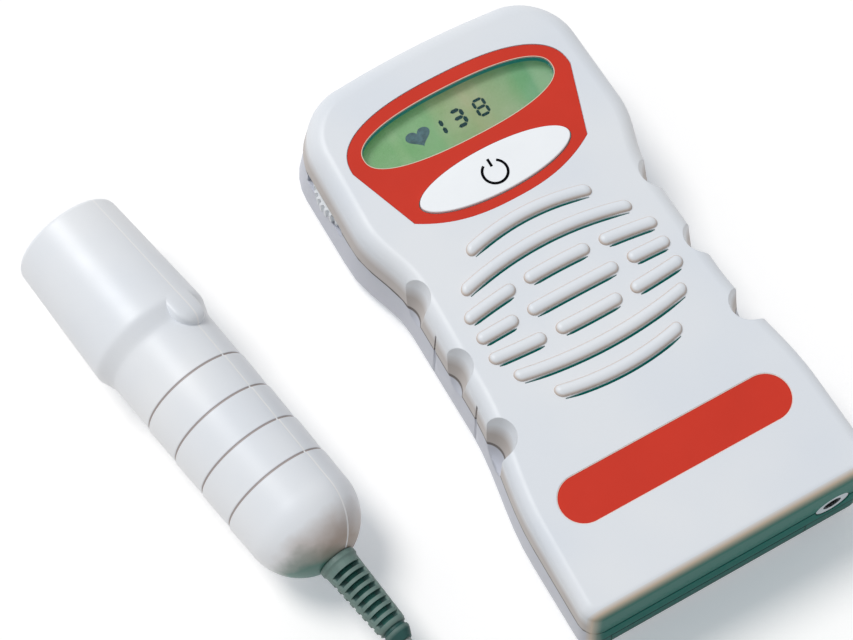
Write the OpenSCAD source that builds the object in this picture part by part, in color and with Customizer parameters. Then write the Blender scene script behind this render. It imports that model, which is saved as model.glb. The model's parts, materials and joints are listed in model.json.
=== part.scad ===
/* [Case] */
// Length of the handset case, foot to head
case_length = 151; // [149:1:170]
// Width of the case across the display head
head_width = 78; // [77:0.2:90]
// Width of the case at the finger waist
waist_width = 68.2; // [67.2:0.2:76]
// Width of the case across the foot
foot_width = 76.2; // [75.4:0.2:90]
// Thickness of the case, back to face
case_height = 28; // [27.5:0.5:34]
// Depth of the front shell, from the face down to the parting line
front_depth = 12.5; // [12:0.5:14]
// Wall thickness of both shells
wall = 2.2; // [1.8:0.1:2.4]
// Corner radius of the head, seen from the front
head_corner = 16; // [14:0.5:20]
// Corner radius of the foot, seen from the front
foot_corner = 4.5; // [3:0.5:8]
// How far the head edge bows out at its middle
head_bow = 1; // [0.5:0.5:3]
// Radius of the face edge at the head
head_round = 4.5; // [3:0.5:6]
// Radius of the face edge at the foot
foot_round = 3; // [2:0.5:5]
// Radius of the back edge
back_round = 3.5; // [2:0.5:5]
// How much the side wall leans in towards the back
back_draft = 0.2; // [0.2:0.1:1]
// How far the head's walls lean in for each millimetre up; the foot's wall is upright
head_lean = 0.165; // [0.1:0.005:0.18]
// Depth of the groove along the parting line
seam_groove = 0.35; // [0.2:0.05:0.5]
// Where the waist starts to widen to the head, above the middle
head_flare_from = 14.5; // [10:0.5:18]
// Length of the flare to the head
head_flare = 22; // [18:1:34]
// Where the waist starts to widen to the foot, below the middle
foot_flare_from = 14.5; // [10:0.5:18]
// Length of the flare to the foot
foot_flare = 36; // [28:1:40]

/* [Finger scoops] */
// Number of finger scoops on each side
scoop_count = 3; // [2:1:3]
// Distance from one scoop to the next
scoop_pitch = 20; // [18:0.5:21]
// Place of the middle scoop, above the middle of the case
scoop_y = -7.2; // [-9:0.1:-4]
// Radius of a scoop
scoop_radius = 5; // [4:0.25:6]
// How far a scoop bites in at the parting line
scoop_bite_low = 1; // [0.8:0.1:1.6]
// How far a scoop bites in at the face
scoop_bite_high = 3.5; // [2.8:0.1:4.2]
// Width and depth of the crease between two scoops
crease = 0.8; // [0.4:0.1:1.2]

/* [Control panel] */
// Half width of the red panel at its widest
panel_half_width = 30; // [28:0.5:31]
// Height of the red panel, lower edge to upper edge
panel_height = 37.9; // [37:0.1:40]
// Distance from the head edge to the top of the panel
panel_drop = 14.8; // [13:0.2:16]
// Thickness of the panel film
panel_film = 0.4; // [0.3:0.05:0.6]
// Width of the display window
window_width = 51.7; // [46:0.1:53]
// Height of the display window
window_height = 15; // [12:0.25:16]
// Distance from the top of the panel to the middle of the window
window_drop = 11.2; // [10.5:0.1:12]
// Width of the power button
button_width = 40.6; // [34:0.2:42]
// Height of the power button, seen from the front
button_height = 12.4; // [10:0.2:13]
// Distance from the top of the panel to the middle of the button
button_drop = 29; // [28.5:0.1:29.5]
// How far the button stands above the face
button_proud = 0.5; // [0.2:0.1:1]
// Travel of the button when pressed
button_travel = 0.5; // [0.3:0.1:0.7]
// Gap between the button and its opening
button_gap = 0.25; // [0.15:0.05:0.4]
// Width of the rim that keeps the button in
button_rim = 0.9; // [0.6:0.1:1]

/* [Grille] */
// Number of louvre rows over the loudspeaker
grille_rows = 7; // [5:1:7]
// Distance from one louvre row to the next
grille_pitch = 7.5; // [6.8:0.1:7.8]
// Distance from the panel's lower edge to the middle louvre row
grille_drop = 29; // [26.8:0.1:30.8]
// Half length of the middle slits
grille_half = 24.4; // [22:0.2:24.6]
// Width of a louvre bar
bar_width = 3.3; // [2.5:0.1:3.8]
// Height of a louvre bar above the face
bar_height = 1.2; // [0.8:0.1:1.6]
// How far a bar runs past its slit at each end
bar_overhang = 1.5; // [1:0.1:1.8]
// Width of a slit
slit_width = 0.7; // [0.5:0.05:1]
// Length left closed between two slits in a row
slit_gap = 5.7; // [5:0.1:7]

/* [Label plate] */
// Length of the red label plate
label_length = 60; // [50:1:64]
// Width of the red label plate
label_width = 11.7; // [9:0.1:13]
// Thickness of the label plate
label_thickness = 0.6; // [0.4:0.1:1]
// Distance from the foot edge to the middle of the label plate
label_rise = 26; // [24:0.5:32]
// Gap round the label plate
label_gap = 0.2; // [0.1:0.05:0.3]

/* [Volume wheel] */
// Radius of the volume wheel
wheel_radius = 12; // [10.5:0.25:12.5]
// Thickness of the volume wheel
wheel_thickness = 3.6; // [2.5:0.1:4]
// How far the wheel stands out of the side wall
wheel_proud = 1.2; // [0.6:0.1:1.6]
// Distance from the head edge to the wheel's axis
wheel_drop = 25.5; // [24:0.25:27]
// Number of teeth round the wheel
wheel_teeth = 40; // [24:1:48]
// Gap above and below the wheel in its slot
wheel_gap = 0.4; // [0.3:0.05:0.6]

/* [Loudspeaker] */
// Radius of the loudspeaker's flange
speaker_radius = 24.5; // [22:0.25:24.75]
// Depth of the loudspeaker, flange to magnet
speaker_depth = 9.5; // [8:0.25:10]
// Thickness of the foam gasket
gasket = 0.8; // [0.5:0.1:1.2]

/* [Batteries] */
// Radius of one cell
cell_radius = 7.1; // [7:0.05:7.2]
// Length of one cell without its button end
cell_length = 49.2; // [48.5:0.1:49.4]
// Thickness of the battery door
door_thickness = 2; // [1.6:0.1:2.2]
// Height of the door's lip at the foot
door_lip = 8.4; // [7:0.2:9]
// Gap round the battery door
door_gap = 0.25; // [0.15:0.05:0.35]
// Distance that the door slides before it is free
door_travel = 36; // [34:1:40]

/* [Socket and plug] */
// Radius of the plug's pin
pin_radius = 1.75; // [1.5:0.05:2]
// Length of the plug's pin
pin_length = 14; // [12:0.5:15]
// Gap between the pin and the bore of the socket
pin_gap = 0.05; // [0.03:0.01:0.1]
// Radius of the socket's barrel
socket_radius = 3.7; // [3.3:0.1:4.2]
// Distance of the socket's axis from the middle of the case
socket_x = 27; // [26.5:0.25:27.5]
// Height of the socket's axis above the back
socket_z = 15; // [13:0.25:15.5]
// Radius of the plug's grip
plug_radius = 4.6; // [4:0.1:6]
// Length of the plug's grip
plug_length = 20; // [16:1:24]

/* [Probe] */
// Radius of the probe's front rim
probe_front_radius = 14; // [13:0.1:15]
// Radius of the probe's head where it is widest
probe_head_radius = 15.6; // [15.2:0.1:17]
// Length of the probe's head
probe_head_length = 34; // [30:0.5:38]
// Radius of the probe's grip
grip_radius = 14; // [13:0.1:14.4]
// Length of the probe, front rim to tip of the dome
probe_length = 105; // [98:1:115]
// Number of grooves round the grip
ring_count = 4; // [2:1:5]
// Distance from one groove to the next
ring_pitch = 10.2; // [8:0.1:10.5]
// Depth and width of a groove
ring_depth = 0.5; // [0.3:0.05:0.7]
// Wall thickness of the probe's shells
probe_wall = 1.8; // [1.5:0.1:2.2]
// Width of the tongue that runs over the neck
tongue_width = 9.6; // [8:0.2:11]
// How far the tongue runs past the head
tongue_length = 8; // [6:0.5:10]
// Heading of the probe, turned from the handset's length
probe_heading = 10; // [5:0.5:11]
// How far the seam is rolled from the top of the probe
probe_roll = 31; // [20:1:40]

/* [Cord] */
// Diameter of the probe's cord
cord_diameter = 3.3; // [3:0.1:3.6]
// Length of the ribbed strain relief
relief_length = 24; // [20:1:28]
// Number of ribs on the strain relief
relief_ribs = 9; // [6:1:9]
// Turns of the coil that the spare cord is put away in
coil_turns = 9.25; // [6.25:1:9.25]
// Gap between neighbouring turns of the coil
coil_clearance = 0.55; // [0.5:0.05:0.8]

/* [Hidden] */
$fn = 48;
case_white = [0.90, 0.92, 0.94];
panel_red = [0.80, 0.22, 0.17];
steel_grey = [0.72, 0.73, 0.75];
board_green = [0.10, 0.36, 0.22];
relief_grey = [0.45, 0.50, 0.50];
part_clearance = 0.1;

// Levels of the case, from the back at zero to the face
foot_y = -case_length / 2;
head_y = case_length / 2;
part_z = case_height - front_depth;
inner_z = case_height - wall;

function smooth(t) = t <= 0 ? 0 : t >= 1 ? 1 : (1 - cos(180 * t)) / 2;
function mix(a, b, t) = a + (b - a) * t;
function unit(v) = v / norm(v);

// Half the width of the case at a height y
function half_width(y) = waist_width / 2
    + (head_width - waist_width) / 2 * smooth((y - head_flare_from) / head_flare)
    + (foot_width - waist_width) / 2 * smooth((-foot_flare_from - y) / foot_flare);

// The walls lean in above the back's edge: not at the foot, and most at the head.
// A band on each side of the parting line stays upright.
part_band = 1;
function lean_at(y) = head_lean * max(y - foot_y, 0) / case_length;
function rise_at(z) = min(max(z - back_round, 0), part_z - part_band - back_round)
    + max(z - part_z - part_band, 0);
function leaned(p, z) = [
    p[0] * (1 - lean_at(p[1]) * rise_at(z) / (head_width / 2)),
    p[1] - head_lean * rise_at(z) * max(p[1], 0) / head_y,
    z
];
function side_x(y, z) = leaned([half_width(y), y], z)[0];

// The outline's right half in steps: foot corner, side, head corner, head edge
foot_corner_steps = 4;
side_steps = 26;
head_corner_steps = 8;
head_edge_steps = 4;
side_start = foot_corner_steps;
shoulder_start = side_start + side_steps;
crown_start = shoulder_start + head_corner_steps;
outline_steps = crown_start + head_edge_steps;

// A point of the right half of the outline, moved in by inset
function outline_point(step, inset) =
    let (
        foot_r = max(foot_corner, inset + 0.5),
        foot_centre = [foot_width / 2 - foot_r, foot_y + foot_r],
        head_centre = [head_width / 2 - head_corner, head_y - head_bow - head_corner],
        turn_foot = -90 + 90 * step / foot_corner_steps,
        turn_head = 90 * (step - shoulder_start) / head_corner_steps,
        side_y = mix(foot_centre[1], head_centre[1], (step - side_start) / side_steps),
        crown_x = head_centre[0] * (1 - (step - crown_start) / head_edge_steps)
    )
    step < side_start ? foot_centre + (foot_r - inset) * [cos(turn_foot), sin(turn_foot)] :
    step < shoulder_start ? [half_width(side_y) - inset, side_y] :
    step < crown_start ? head_centre + (head_corner - inset) * [cos(turn_head), sin(turn_head)] :
    [crown_x, head_y - inset - head_bow * pow(crown_x / head_centre[0], 2)];

// Radius of the face's edge beside a step of the outline
function edge_round(step) =
    mix(foot_round, head_round, (outline_point(step, 0)[1] - foot_y) / case_length);

// A closed ring of points round the case at one level: how far in, and how high, per step
function ring(insets, heights) =
    let (right = [for (i = [0:outline_steps]) leaned(outline_point(i, insets[i]), heights[i])])
    concat(right, [for (i = [outline_steps - 1:-1:0]) [-right[i][0], right[i][1], heights[i]]]);
function level_ring(inset, z) =
    ring([for (i = [0:outline_steps]) inset], [for (i = [0:outline_steps]) z]);

// A ring on the rounded edge of the face; turn runs from 0 at the wall to 90 at the face
function face_ring(turn, skin) =
    let (radius = [for (i = [0:outline_steps]) max(edge_round(i) - skin, 0.8)])
    ring(
        [for (r = radius) skin + r * (1 - cos(turn))],
        [for (r = radius) case_height - skin - r * (1 - sin(turn))]
    );

// A ring on the rounded edge of the back; turn runs from 90 at the back to 0 at the wall
function back_ring(turn, skin) =
    let (r = max(back_round - skin, 0.8))
    level_ring(skin + back_draft + r * (1 - cos(turn)), skin + r * (1 - sin(turn)));

// A closed solid through rings of equal length; strips from side to side close its ends
module loft(rings) {
    n = len(rings[0]);
    top = (len(rings) - 1) * n;
    walls = [for (k = [0:n:top - n]) for (i = [0:n - 1]) for (half = [0, 1])
        let (a = k + i, b = k + (i + 1) % n)
        half == 0 ? [a, a + n, b] : [b, a + n, b + n]];
    ends = [for (i = [0:n - 3]) let (a = ceil(i / 2), b = n - 1 - floor(i / 2))
        i % 2 == 0 ? [a, a + 1, b] : [a, b - 1, b]];
    polyhedron(
        points = [for (r = rings) for (p = r) p],
        faces = concat(ends, walls, [for (e = ends) [top + e[0], top + e[2], top + e[1]]])
    );
}

module front_outer() {
    loft(concat(
        [level_ring(seam_groove, part_z), level_ring(0, part_z + seam_groove), level_ring(0, part_z + part_band)],
        [for (turn = [0:22.5:90]) face_ring(turn, 0)]
    ));
}

module front_inner() {
    loft(concat(
        [level_ring(wall, part_z - part_band), level_ring(wall, part_z + part_band)],
        [for (turn = [0:30:90]) face_ring(turn, wall)]
    ));
}

module rear_outer() {
    loft(concat(
        [for (turn = [90:-22.5:0]) back_ring(turn, 0)],
        [level_ring(0, part_z - part_band), level_ring(0, part_z - seam_groove), level_ring(seam_groove, part_z)]
    ));
}

module rear_inner() {
    loft(concat(
        [for (turn = [90:-45:0]) back_ring(turn, wall)],
        [level_ring(wall, part_z - part_band), level_ring(wall, part_z + part_band)]
    ));
}

// Finger scoops: leaning cylinders that open on the face, on both sides
scoop_places = [for (i = [0:scoop_count - 1]) scoop_y + scoop_pitch * (1 - i)];
scoop_low_x = side_x(scoop_y, part_z) - scoop_bite_low + scoop_radius;
scoop_high_x = side_x(scoop_y, case_height) - scoop_bite_high + scoop_radius;
scoop_lean = atan((scoop_low_x - scoop_high_x) / (case_height - part_z));
module scoops(extra) {
    for (side = [-1, 1], y = scoop_places)
        translate([side * scoop_low_x, y, part_z])
            rotate([0, -side * scoop_lean, 0])
                union() {
                    cylinder(r = scoop_radius + extra, h = 2 * front_depth);
                    sphere(r = scoop_radius + extra);
                }
}

// Creases down the side between two scoops
module creases() {
    for (side = [-1, 1], i = [0:scoop_count - 2])
        let (y = scoop_places[i] - scoop_pitch / 2)
            translate([side * side_x(y, back_round), y, back_round])
                rotate([0, -side * atan(lean_at(y)), 0])
                    rotate([0, 0, 45])
                        translate([-crease / 2, -crease / 2, -back_round - 1])
                            cube([crease, crease, case_height - foot_round]);
}

// Screws that hold the two shells together, from the back
screw_shank = 1.2;
screw_hole = screw_shank + 0.05;
screw_head = 2.4;
screw_recess = screw_head + 0.4;
boss_radius = 3.5;
boss_head_x = 22;
boss_foot_x = 28;
boss_foot_y = -34;
screw_seat_z = 6;
screw_length = 15;
screw_places = [
    [-boss_head_x, head_y - 10], [boss_head_x, head_y - 10],
    [-boss_foot_x, boss_foot_y], [boss_foot_x, boss_foot_y]
];

// Face of the control panel: an arc above, slanting sides, an arc below
panel_top_y = head_y - panel_drop;
panel_low_y = panel_top_y - panel_height;
grille_y = panel_low_y - grille_drop;
panel_wide_y = panel_top_y - 13.2;
panel_corner_x = panel_half_width - 6.4;
panel_corner_rise = 6;
function panel_outline(shrink) =
    let (
        a = panel_half_width - shrink,
        corner = panel_corner_x - shrink,
        corner_y = panel_low_y + panel_corner_rise + shrink / 2
    )
    concat(
        [for (t = [0:9:180]) [
            a * sign(cos(t)) * pow(abs(cos(t)), 0.8),
            panel_wide_y + (panel_top_y - shrink - panel_wide_y) * pow(sin(t), 0.8)
        ]],
        [for (i = [-8:8]) let (x = corner * i / 8) [
            x,
            panel_low_y + shrink + (corner_y - panel_low_y - shrink) * pow(abs(x) / corner, 2.5)
        ]]
    );

// A rounded oval, from an ellipse at power 2 to a fuller one above
function oval(half_w, half_h, power, count) =
    [for (i = [0:count - 1]) let (t = 360 * i / count) [
        half_w * sign(cos(t)) * pow(abs(cos(t)), 2 / power),
        half_h * sign(sin(t)) * pow(abs(sin(t)), 2 / power)
    ]];
window_y = panel_top_y - window_drop;
button_y = panel_top_y - button_drop;
module window_shape(grow) {
    translate([0, window_y])
        polygon(oval(window_width / 2 + grow, window_height / 2 + grow, 2.4, 48));
}
module button_shape(grow) {
    translate([0, button_y])
        polygon(oval(button_width / 2 + grow, button_height / 2 + grow, 2, 48));
}

module label_shape(grow) {
    r = label_width / 2 + grow;
    reach = (label_length - label_width) / 2;
    translate([0, foot_y + label_rise]) {
        square([2 * reach, 2 * r], center = true);
        for (side = [-1, 1]) translate([side * reach, 0]) circle(r = r);
    }
}

// Louvre rows: from the top row down, the arcs turn from rising to falling
grille_curve = 0.0055;
grille_level_row = 3.3;
grille_middle = (grille_rows - 1) / 2;
bar_step = 0.12;
function row_y(row) = grille_y + grille_pitch * (grille_middle - row);
function row_curve(row) = grille_curve * (grille_level_row - 3 + grille_middle - row);
function row_half(row) =
    let (out = abs(row - grille_middle))
    out > 2.5 ? grille_half - 9 : out > 1.5 ? grille_half - 2.9 : grille_half;
function row_gap(row) =
    let (out = abs(row - grille_middle)) out > 1.5 ? 0 : out > 0.5 ? 7.25 : 10.6;
// The slits of a row, each from one x to another
function row_slits(row) = row_gap(row) == 0
    ? [[-row_half(row), row_half(row)]]
    : [
        [-row_half(row), -row_gap(row) - slit_gap],
        [-row_gap(row), row_gap(row)],
        [row_gap(row) + slit_gap, row_half(row)]
    ];
function row_line(row, x) = row_y(row) - row_curve(row) * x * x / 2;

// A strip that follows a row from x0 to x1, between two heights beside the slit's middle
module row_strip(row, x0, x1, low, high) {
    steps = 10;
    xs = [for (i = [0:steps]) mix(x0, x1, i / steps)];
    polygon(concat(
        [for (x = xs) [x, row_line(row, x) + low]],
        [for (i = [steps:-1:0]) [xs[i], row_line(row, xs[i]) + high]]
    ));
}

module bar_shape(row, slit, shrink) {
    x0 = slit[0] - bar_overhang + bar_width / 2;
    x1 = slit[1] + bar_overhang - bar_width / 2;
    low = slit_width / 2 + bar_step;
    middle = low + bar_width / 2;
    row_strip(row, x0, x1, low + shrink, low + bar_width - shrink);
    for (x = [x0, x1])
        translate([x, row_line(row, x) + middle]) circle(r = bar_width / 2 - shrink - 0.04);
}

module grille_bars() {
    for (row = [0:grille_rows - 1], slit = row_slits(row)) {
        translate([0, 0, case_height - 0.5])
            linear_extrude(0.5 + bar_height * 0.6) bar_shape(row, slit, 0);
        translate([0, 0, case_height - 0.5])
            linear_extrude(0.5 + bar_height) bar_shape(row, slit, bar_width * 0.2);
    }
}

module grille_slits() {
    for (row = [0:grille_rows - 1], slit = row_slits(row))
        translate([0, 0, inner_z - 1])
            linear_extrude(case_height)
                row_strip(row, slit[0], slit[1], -slit_width / 2, slit_width / 2);
}

// Main board and what it carries
board_thickness = 1.6;
board_depth = 5.2;
board_top_z = inner_z - board_depth;
board_low_z = board_top_z - board_thickness;
board_end_drop = 6;
board_end_y = head_y - board_end_drop;
board_shoulder_drop = 16.5;
board_shoulder_y = head_y - board_shoulder_drop;
board_waist_drop = 41;
board_waist_y = head_y - board_waist_drop;
board_start_drop = 52;
board_start_y = head_y - board_start_drop;
board_wide = 33.5;
board_narrow = 17;
board_waist = 31;
post_radius = 2.4;
board_screw_shank = 1;
board_screw_hole = board_screw_shank + 0.05;
board_screw_head = 1.9;
board_screw_head_height = 1.2;
board_screw_bite = 4;
screw_near_x = 12;
screw_near_drop = 9.5;
screw_far_x = 26;
screw_far_drop = 49;
board_screw_places = [
    [-screw_near_x, head_y - screw_near_drop], [screw_near_x, head_y - screw_near_drop],
    [-screw_far_x, head_y - screw_far_drop], [screw_far_x, head_y - screw_far_drop]
];

// Display stack, from the window glued under the face down to the board
window_thickness = 1;
glass_thickness = 1.8;
glass_margin = 1.4;
glass_z = inner_z - window_thickness - 0.2 - glass_thickness;
backlight_thickness = 1.2;
holder_wall = 0.9;
module display_box(margin) {
    translate([0, window_y])
        square([window_width + 2 * margin, window_height + 2 * margin], center = true);
}

// Switch under the power button
switch_size = 6;
switch_height = 3.2;
plunger_radius = 1.7;
plunger_top_z = board_top_z + switch_height + 0.9;
rim_thickness = 0.8;
rim_top_z = inner_z - 0.05;

// Volume wheel and its potentiometer
wheel_y = head_y - wheel_drop;
wheel_z = part_z - 1;
wheel_side_x = side_x(wheel_y, wheel_z);
wheel_x = -(wheel_side_x + wheel_proud - wheel_radius);
wheel_top_z = wheel_z + wheel_thickness / 2;
pot_radius = 4.8;
pot_shaft = 1.5;
shaft_clearance = 0.05;
slot_half = wheel_radius * 0.75;
module wheel_slot() {
    slot_height = wheel_thickness + 2 * wheel_gap;
    translate([-wheel_side_x - 2, wheel_y - slot_half, wheel_z - slot_height / 2])
        cube([wall + 3, 2 * slot_half, slot_height]);
}

// Socket in the foot, its bore pointing out of the foot
socket_length = pin_length + 1;
socket_front_y = foot_y + 1.2;
socket_recess = socket_radius + 0.9;
socket_flange = socket_radius + 0.9;
ring_thickness = 1;
module along_foot() {
    rotate([90, 0, 0]) children();
}
module socket_cut() {
    translate([socket_x, foot_y + wall + 1, socket_z])
        along_foot() cylinder(r = socket_radius + part_clearance, h = wall + 2);
    translate([socket_x, socket_front_y, socket_z])
        along_foot() cylinder(r = socket_recess, h = 4);
}

// Loudspeaker stack under the face
speaker_z = inner_z - gasket;
speaker_ring_gap = 0.25;
speaker_ring_wall = 1.2;
speaker_ring_depth = 3;
magnet_radius = speaker_radius * 0.45;
magnet_height = 3.5;
magnet_low_z = speaker_z - speaker_depth;
basket_z = magnet_low_z + magnet_height;
flange_thickness = 0.8;

// Battery bay: two cells side by side across the case
contact_thickness = 0.5;
spring_length = 2.8;
nub_length = 1;
nub_radius = 2.6;
bay_length = cell_length + nub_length + spring_length + 2 * contact_thickness;
bay_wall = 1.2;
bay_right_x = socket_x - socket_flange - 0.3 - bay_wall;
bay_left_x = bay_right_x - bay_length;
cell_side_gap = 0.5;
bay_low_y = foot_y + wall;
cell_low_y = bay_low_y + cell_side_gap + cell_radius;
cell_high_y = cell_low_y + 2 * cell_radius + cell_side_gap;
bay_high_y = cell_high_y + cell_radius + cell_side_gap;
tongue_reach = 2;
tongue_thickness = 1.2;
cell_z = door_thickness + 0.3 + tongue_thickness + 0.3 + cell_radius;
bay_top_z = cell_z + cell_radius + 0.5;
door_left_x = bay_left_x + 1.8;
door_right_x = bay_right_x - 0.2;
door_tongue_width = 8;
door_tongue_places = [mix(door_left_x, door_right_x, 0.3), mix(door_left_x, door_right_x, 0.7)];
module door_space(gap) {
    translate([door_left_x - gap, foot_y - 2, -1])
        cube([door_right_x - door_left_x + 2 * gap, bay_high_y + gap - foot_y + 2, door_thickness + 1 + gap]);
    translate([door_left_x - gap, foot_y - 2, -1])
        cube([door_right_x - door_left_x + 2 * gap, door_thickness + 2 + gap, door_lip + 1 + gap]);
}
module door_tongues(gap) {
    for (x = door_tongue_places)
        translate([x - door_tongue_width / 2 - gap, bay_high_y - 3 - gap, door_thickness + 0.3 - gap])
            cube([door_tongue_width + 2 * gap, 3 + tongue_reach + 2 * gap, tongue_thickness + 2 * gap]);
}

// Front shell of the handset
module front_shell() {
    color(case_white) difference() {
        union() {
            difference() {
                front_outer();
                difference() {
                    front_inner();
                    scoops(wall);
                }
            }
            grille_bars();
            for (p = screw_places)
                translate([p[0], p[1], part_z + part_clearance])
                    cylinder(r = boss_radius, h = front_depth - wall / 2 - part_clearance);
            for (p = board_screw_places)
                translate([p[0], p[1], board_top_z])
                    cylinder(r = post_radius, h = inner_z + wall / 2 - board_top_z);
            speaker_locator();
        }
        scoops(0);
        creases();
        translate([0, 0, case_height - panel_film])
            linear_extrude(2) polygon(panel_outline(-label_gap / 2));
        translate([0, 0, inner_z - 1]) linear_extrude(wall + 2) window_shape(0);
        translate([0, 0, inner_z - 1]) linear_extrude(wall + 2) button_shape(button_gap);
        translate([0, 0, case_height - label_thickness])
            linear_extrude(2) label_shape(label_gap);
        grille_slits();
        wheel_slot();
        socket_cut();
        for (p = screw_places)
            translate([p[0], p[1], part_z - 1])
                cylinder(r = screw_hole, h = screw_seat_z + screw_length - part_z + 1.5);
        for (p = board_screw_places)
            translate([p[0], p[1], board_top_z - 1])
                cylinder(r = board_screw_hole, h = inner_z - board_top_z + 1);
    }
}

module speaker_locator() {
    inner_r = speaker_radius + speaker_ring_gap;
    translate([0, grille_y, inner_z - speaker_ring_depth])
        difference() {
            cylinder(r = inner_r + speaker_ring_wall, h = speaker_ring_depth + wall / 2, $fn = 96);
            translate([0, 0, -1]) cylinder(r = inner_r, h = speaker_ring_depth + 1, $fn = 96);
        }
}

// Rear shell of the handset, with the battery bay
module rear_shell() {
    color(case_white) difference() {
        union() {
            difference() {
                rear_outer();
                difference() {
                    rear_inner();
                    scoops(wall);
                    bay_block();
                }
            }
            intersection() {
                bay_block();
                translate([-head_width, foot_y + wall + part_clearance, part_z - 1])
                    cube([2 * head_width, case_length, case_height]);
            }
            for (p = screw_places)
                translate([p[0], p[1], wall / 2])
                    cylinder(r = boss_radius, h = part_z - wall / 2);
        }
        scoops(0);
        creases();
        bay_space();
        door_space(door_gap);
        door_tongues(door_gap);
        wheel_slot();
        socket_cut();
        for (p = screw_places) {
            translate([p[0], p[1], -1]) cylinder(r = screw_recess, h = screw_seat_z + 1);
            translate([p[0], p[1], -1]) cylinder(r = screw_hole, h = part_z + 2);
        }
    }
}

// The block that the bay is cut from, with a wall on every inner side
module bay_block() {
    translate([bay_left_x - bay_wall, foot_y + wall / 2, wall / 2])
        cube([bay_length + 2 * bay_wall, bay_high_y + bay_wall - foot_y - wall / 2, bay_top_z + bay_wall - wall / 2]);
}
module bay_space() {
    translate([bay_left_x, bay_low_y, door_thickness])
        cube([bay_length, bay_high_y - bay_low_y, bay_top_z - door_thickness]);
}

// Battery door: the case's own skin at the foot, with two tongues
module battery_door() {
    color(case_white) {
        difference() {
            intersection() {
                rear_outer();
                door_space(0);
            }
            translate([-head_width, foot_y + door_thickness, door_thickness])
                cube([2 * head_width, case_length, case_height]);
        }
        difference() {
            door_tongues(0);
            translate([-head_width, bay_high_y + tongue_reach, -1])
                cube([2 * head_width, case_length, case_height]);
        }
        for (x = door_tongue_places)
            translate([x - door_tongue_width / 2, bay_high_y - 3, door_thickness - 0.5])
                cube([door_tongue_width, 2.5, 1]);
    }
}

module control_panel() {
    color(panel_red) translate([0, 0, case_height - panel_film])
        linear_extrude(panel_film) difference() {
            polygon(panel_outline(0));
            window_shape(0);
            button_shape(button_gap);
        }
}

module label_plate() {
    color(panel_red) translate([0, 0, case_height - label_thickness])
        linear_extrude(label_thickness) label_shape(0);
}

module display_window() {
    color([0.75, 0.88, 0.75, 0.4]) translate([0, 0, inner_z - window_thickness])
        linear_extrude(window_thickness) display_box(glass_margin);
}

module display_glass() {
    color([0.50, 0.68, 0.45]) translate([0, 0, glass_z])
        linear_extrude(glass_thickness) display_box(glass_margin - 0.2);
}

module display_backlight() {
    color([0.85, 0.90, 0.70]) translate([0, 0, glass_z - backlight_thickness])
        linear_extrude(backlight_thickness) display_box(glass_margin - 0.2);
}

module display_holder() {
    holder_z = glass_z - backlight_thickness;
    color([0.20, 0.21, 0.22]) difference() {
        translate([0, 0, board_top_z])
            linear_extrude(holder_z + backlight_thickness + glass_thickness / 2 - board_top_z)
                display_box(glass_margin + holder_wall);
        translate([0, 0, holder_z]) linear_extrude(10) display_box(glass_margin - 0.1);
        translate([0, 0, board_top_z - 1]) linear_extrude(10) display_box(-1.5);
    }
}

module power_button() {
    stem_radius = 2.4;
    color([0.95, 0.96, 0.98]) {
        translate([0, 0, rim_top_z - rim_thickness])
            linear_extrude(case_height + button_proud - rim_top_z + rim_thickness) button_shape(0);
        translate([0, 0, rim_top_z - rim_thickness])
            linear_extrude(rim_thickness) button_shape(button_rim);
        translate([0, button_y, plunger_top_z])
            cylinder(r = stem_radius, h = rim_top_z - plunger_top_z);
    }
}

module switch_body() {
    cup_radius = plunger_radius + 0.05;
    color([0.15, 0.15, 0.16]) translate([0, button_y, board_top_z])
        difference() {
            translate([-switch_size / 2, -switch_size / 2, 0])
                cube([switch_size, switch_size, switch_height]);
            translate([0, 0, 1]) cylinder(r = cup_radius, h = switch_height);
        }
}

module switch_plunger() {
    plunger_low_z = board_top_z + 1 + button_travel + 0.1;
    color([0.85, 0.80, 0.35]) translate([0, button_y, plunger_low_z])
        cylinder(r = plunger_radius, h = plunger_top_z - plunger_low_z);
}

module main_board() {
    half = [
        [board_waist, board_start_y], [board_waist, board_waist_y],
        [board_wide, board_waist_y], [board_wide, board_shoulder_y],
        [board_narrow, board_shoulder_y], [board_narrow, board_end_y]
    ];
    color(board_green) difference() {
        translate([0, 0, board_low_z]) linear_extrude(board_thickness)
            polygon(concat(half, [for (i = [len(half) - 1:-1:0]) [-half[i][0], half[i][1]]]));
        for (p = board_screw_places)
            translate([p[0], p[1], board_low_z - 1])
                cylinder(r = board_screw_hole + 0.1, h = board_thickness + 2);
    }
}

// Chips under the board: the audio amplifier, the processor and two capacitors
processor_size = 10;
processor_x = 4;
amplifier_length = 8;
amplifier_width = 5;
amplifier_x = -12;
chip_height = 1.6;
capacitor_radius = 2.2;
capacitor_height = 4.5;
capacitor_x = 18;
capacitor_pitch = 7;
module board_chips() {
    color([0.12, 0.12, 0.13]) {
        translate([processor_x, window_y - processor_size / 2, board_low_z - chip_height])
            cube([processor_size, processor_size, chip_height]);
        translate([amplifier_x, button_y - amplifier_width, board_low_z - chip_height])
            cube([amplifier_length, amplifier_width, chip_height]);
        for (x = [capacitor_x, capacitor_x + capacitor_pitch])
            translate([x, button_y, board_low_z - capacitor_height])
                cylinder(r = capacitor_radius, h = capacitor_height);
    }
}

module board_screws() {
    color(steel_grey) for (p = board_screw_places)
        translate([p[0], p[1], board_low_z - board_screw_head_height]) {
            cylinder(r = board_screw_head, h = board_screw_head_height);
            cylinder(
                r = board_screw_shank,
                h = board_screw_head_height + board_thickness + board_screw_bite
            );
        }
}

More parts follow.
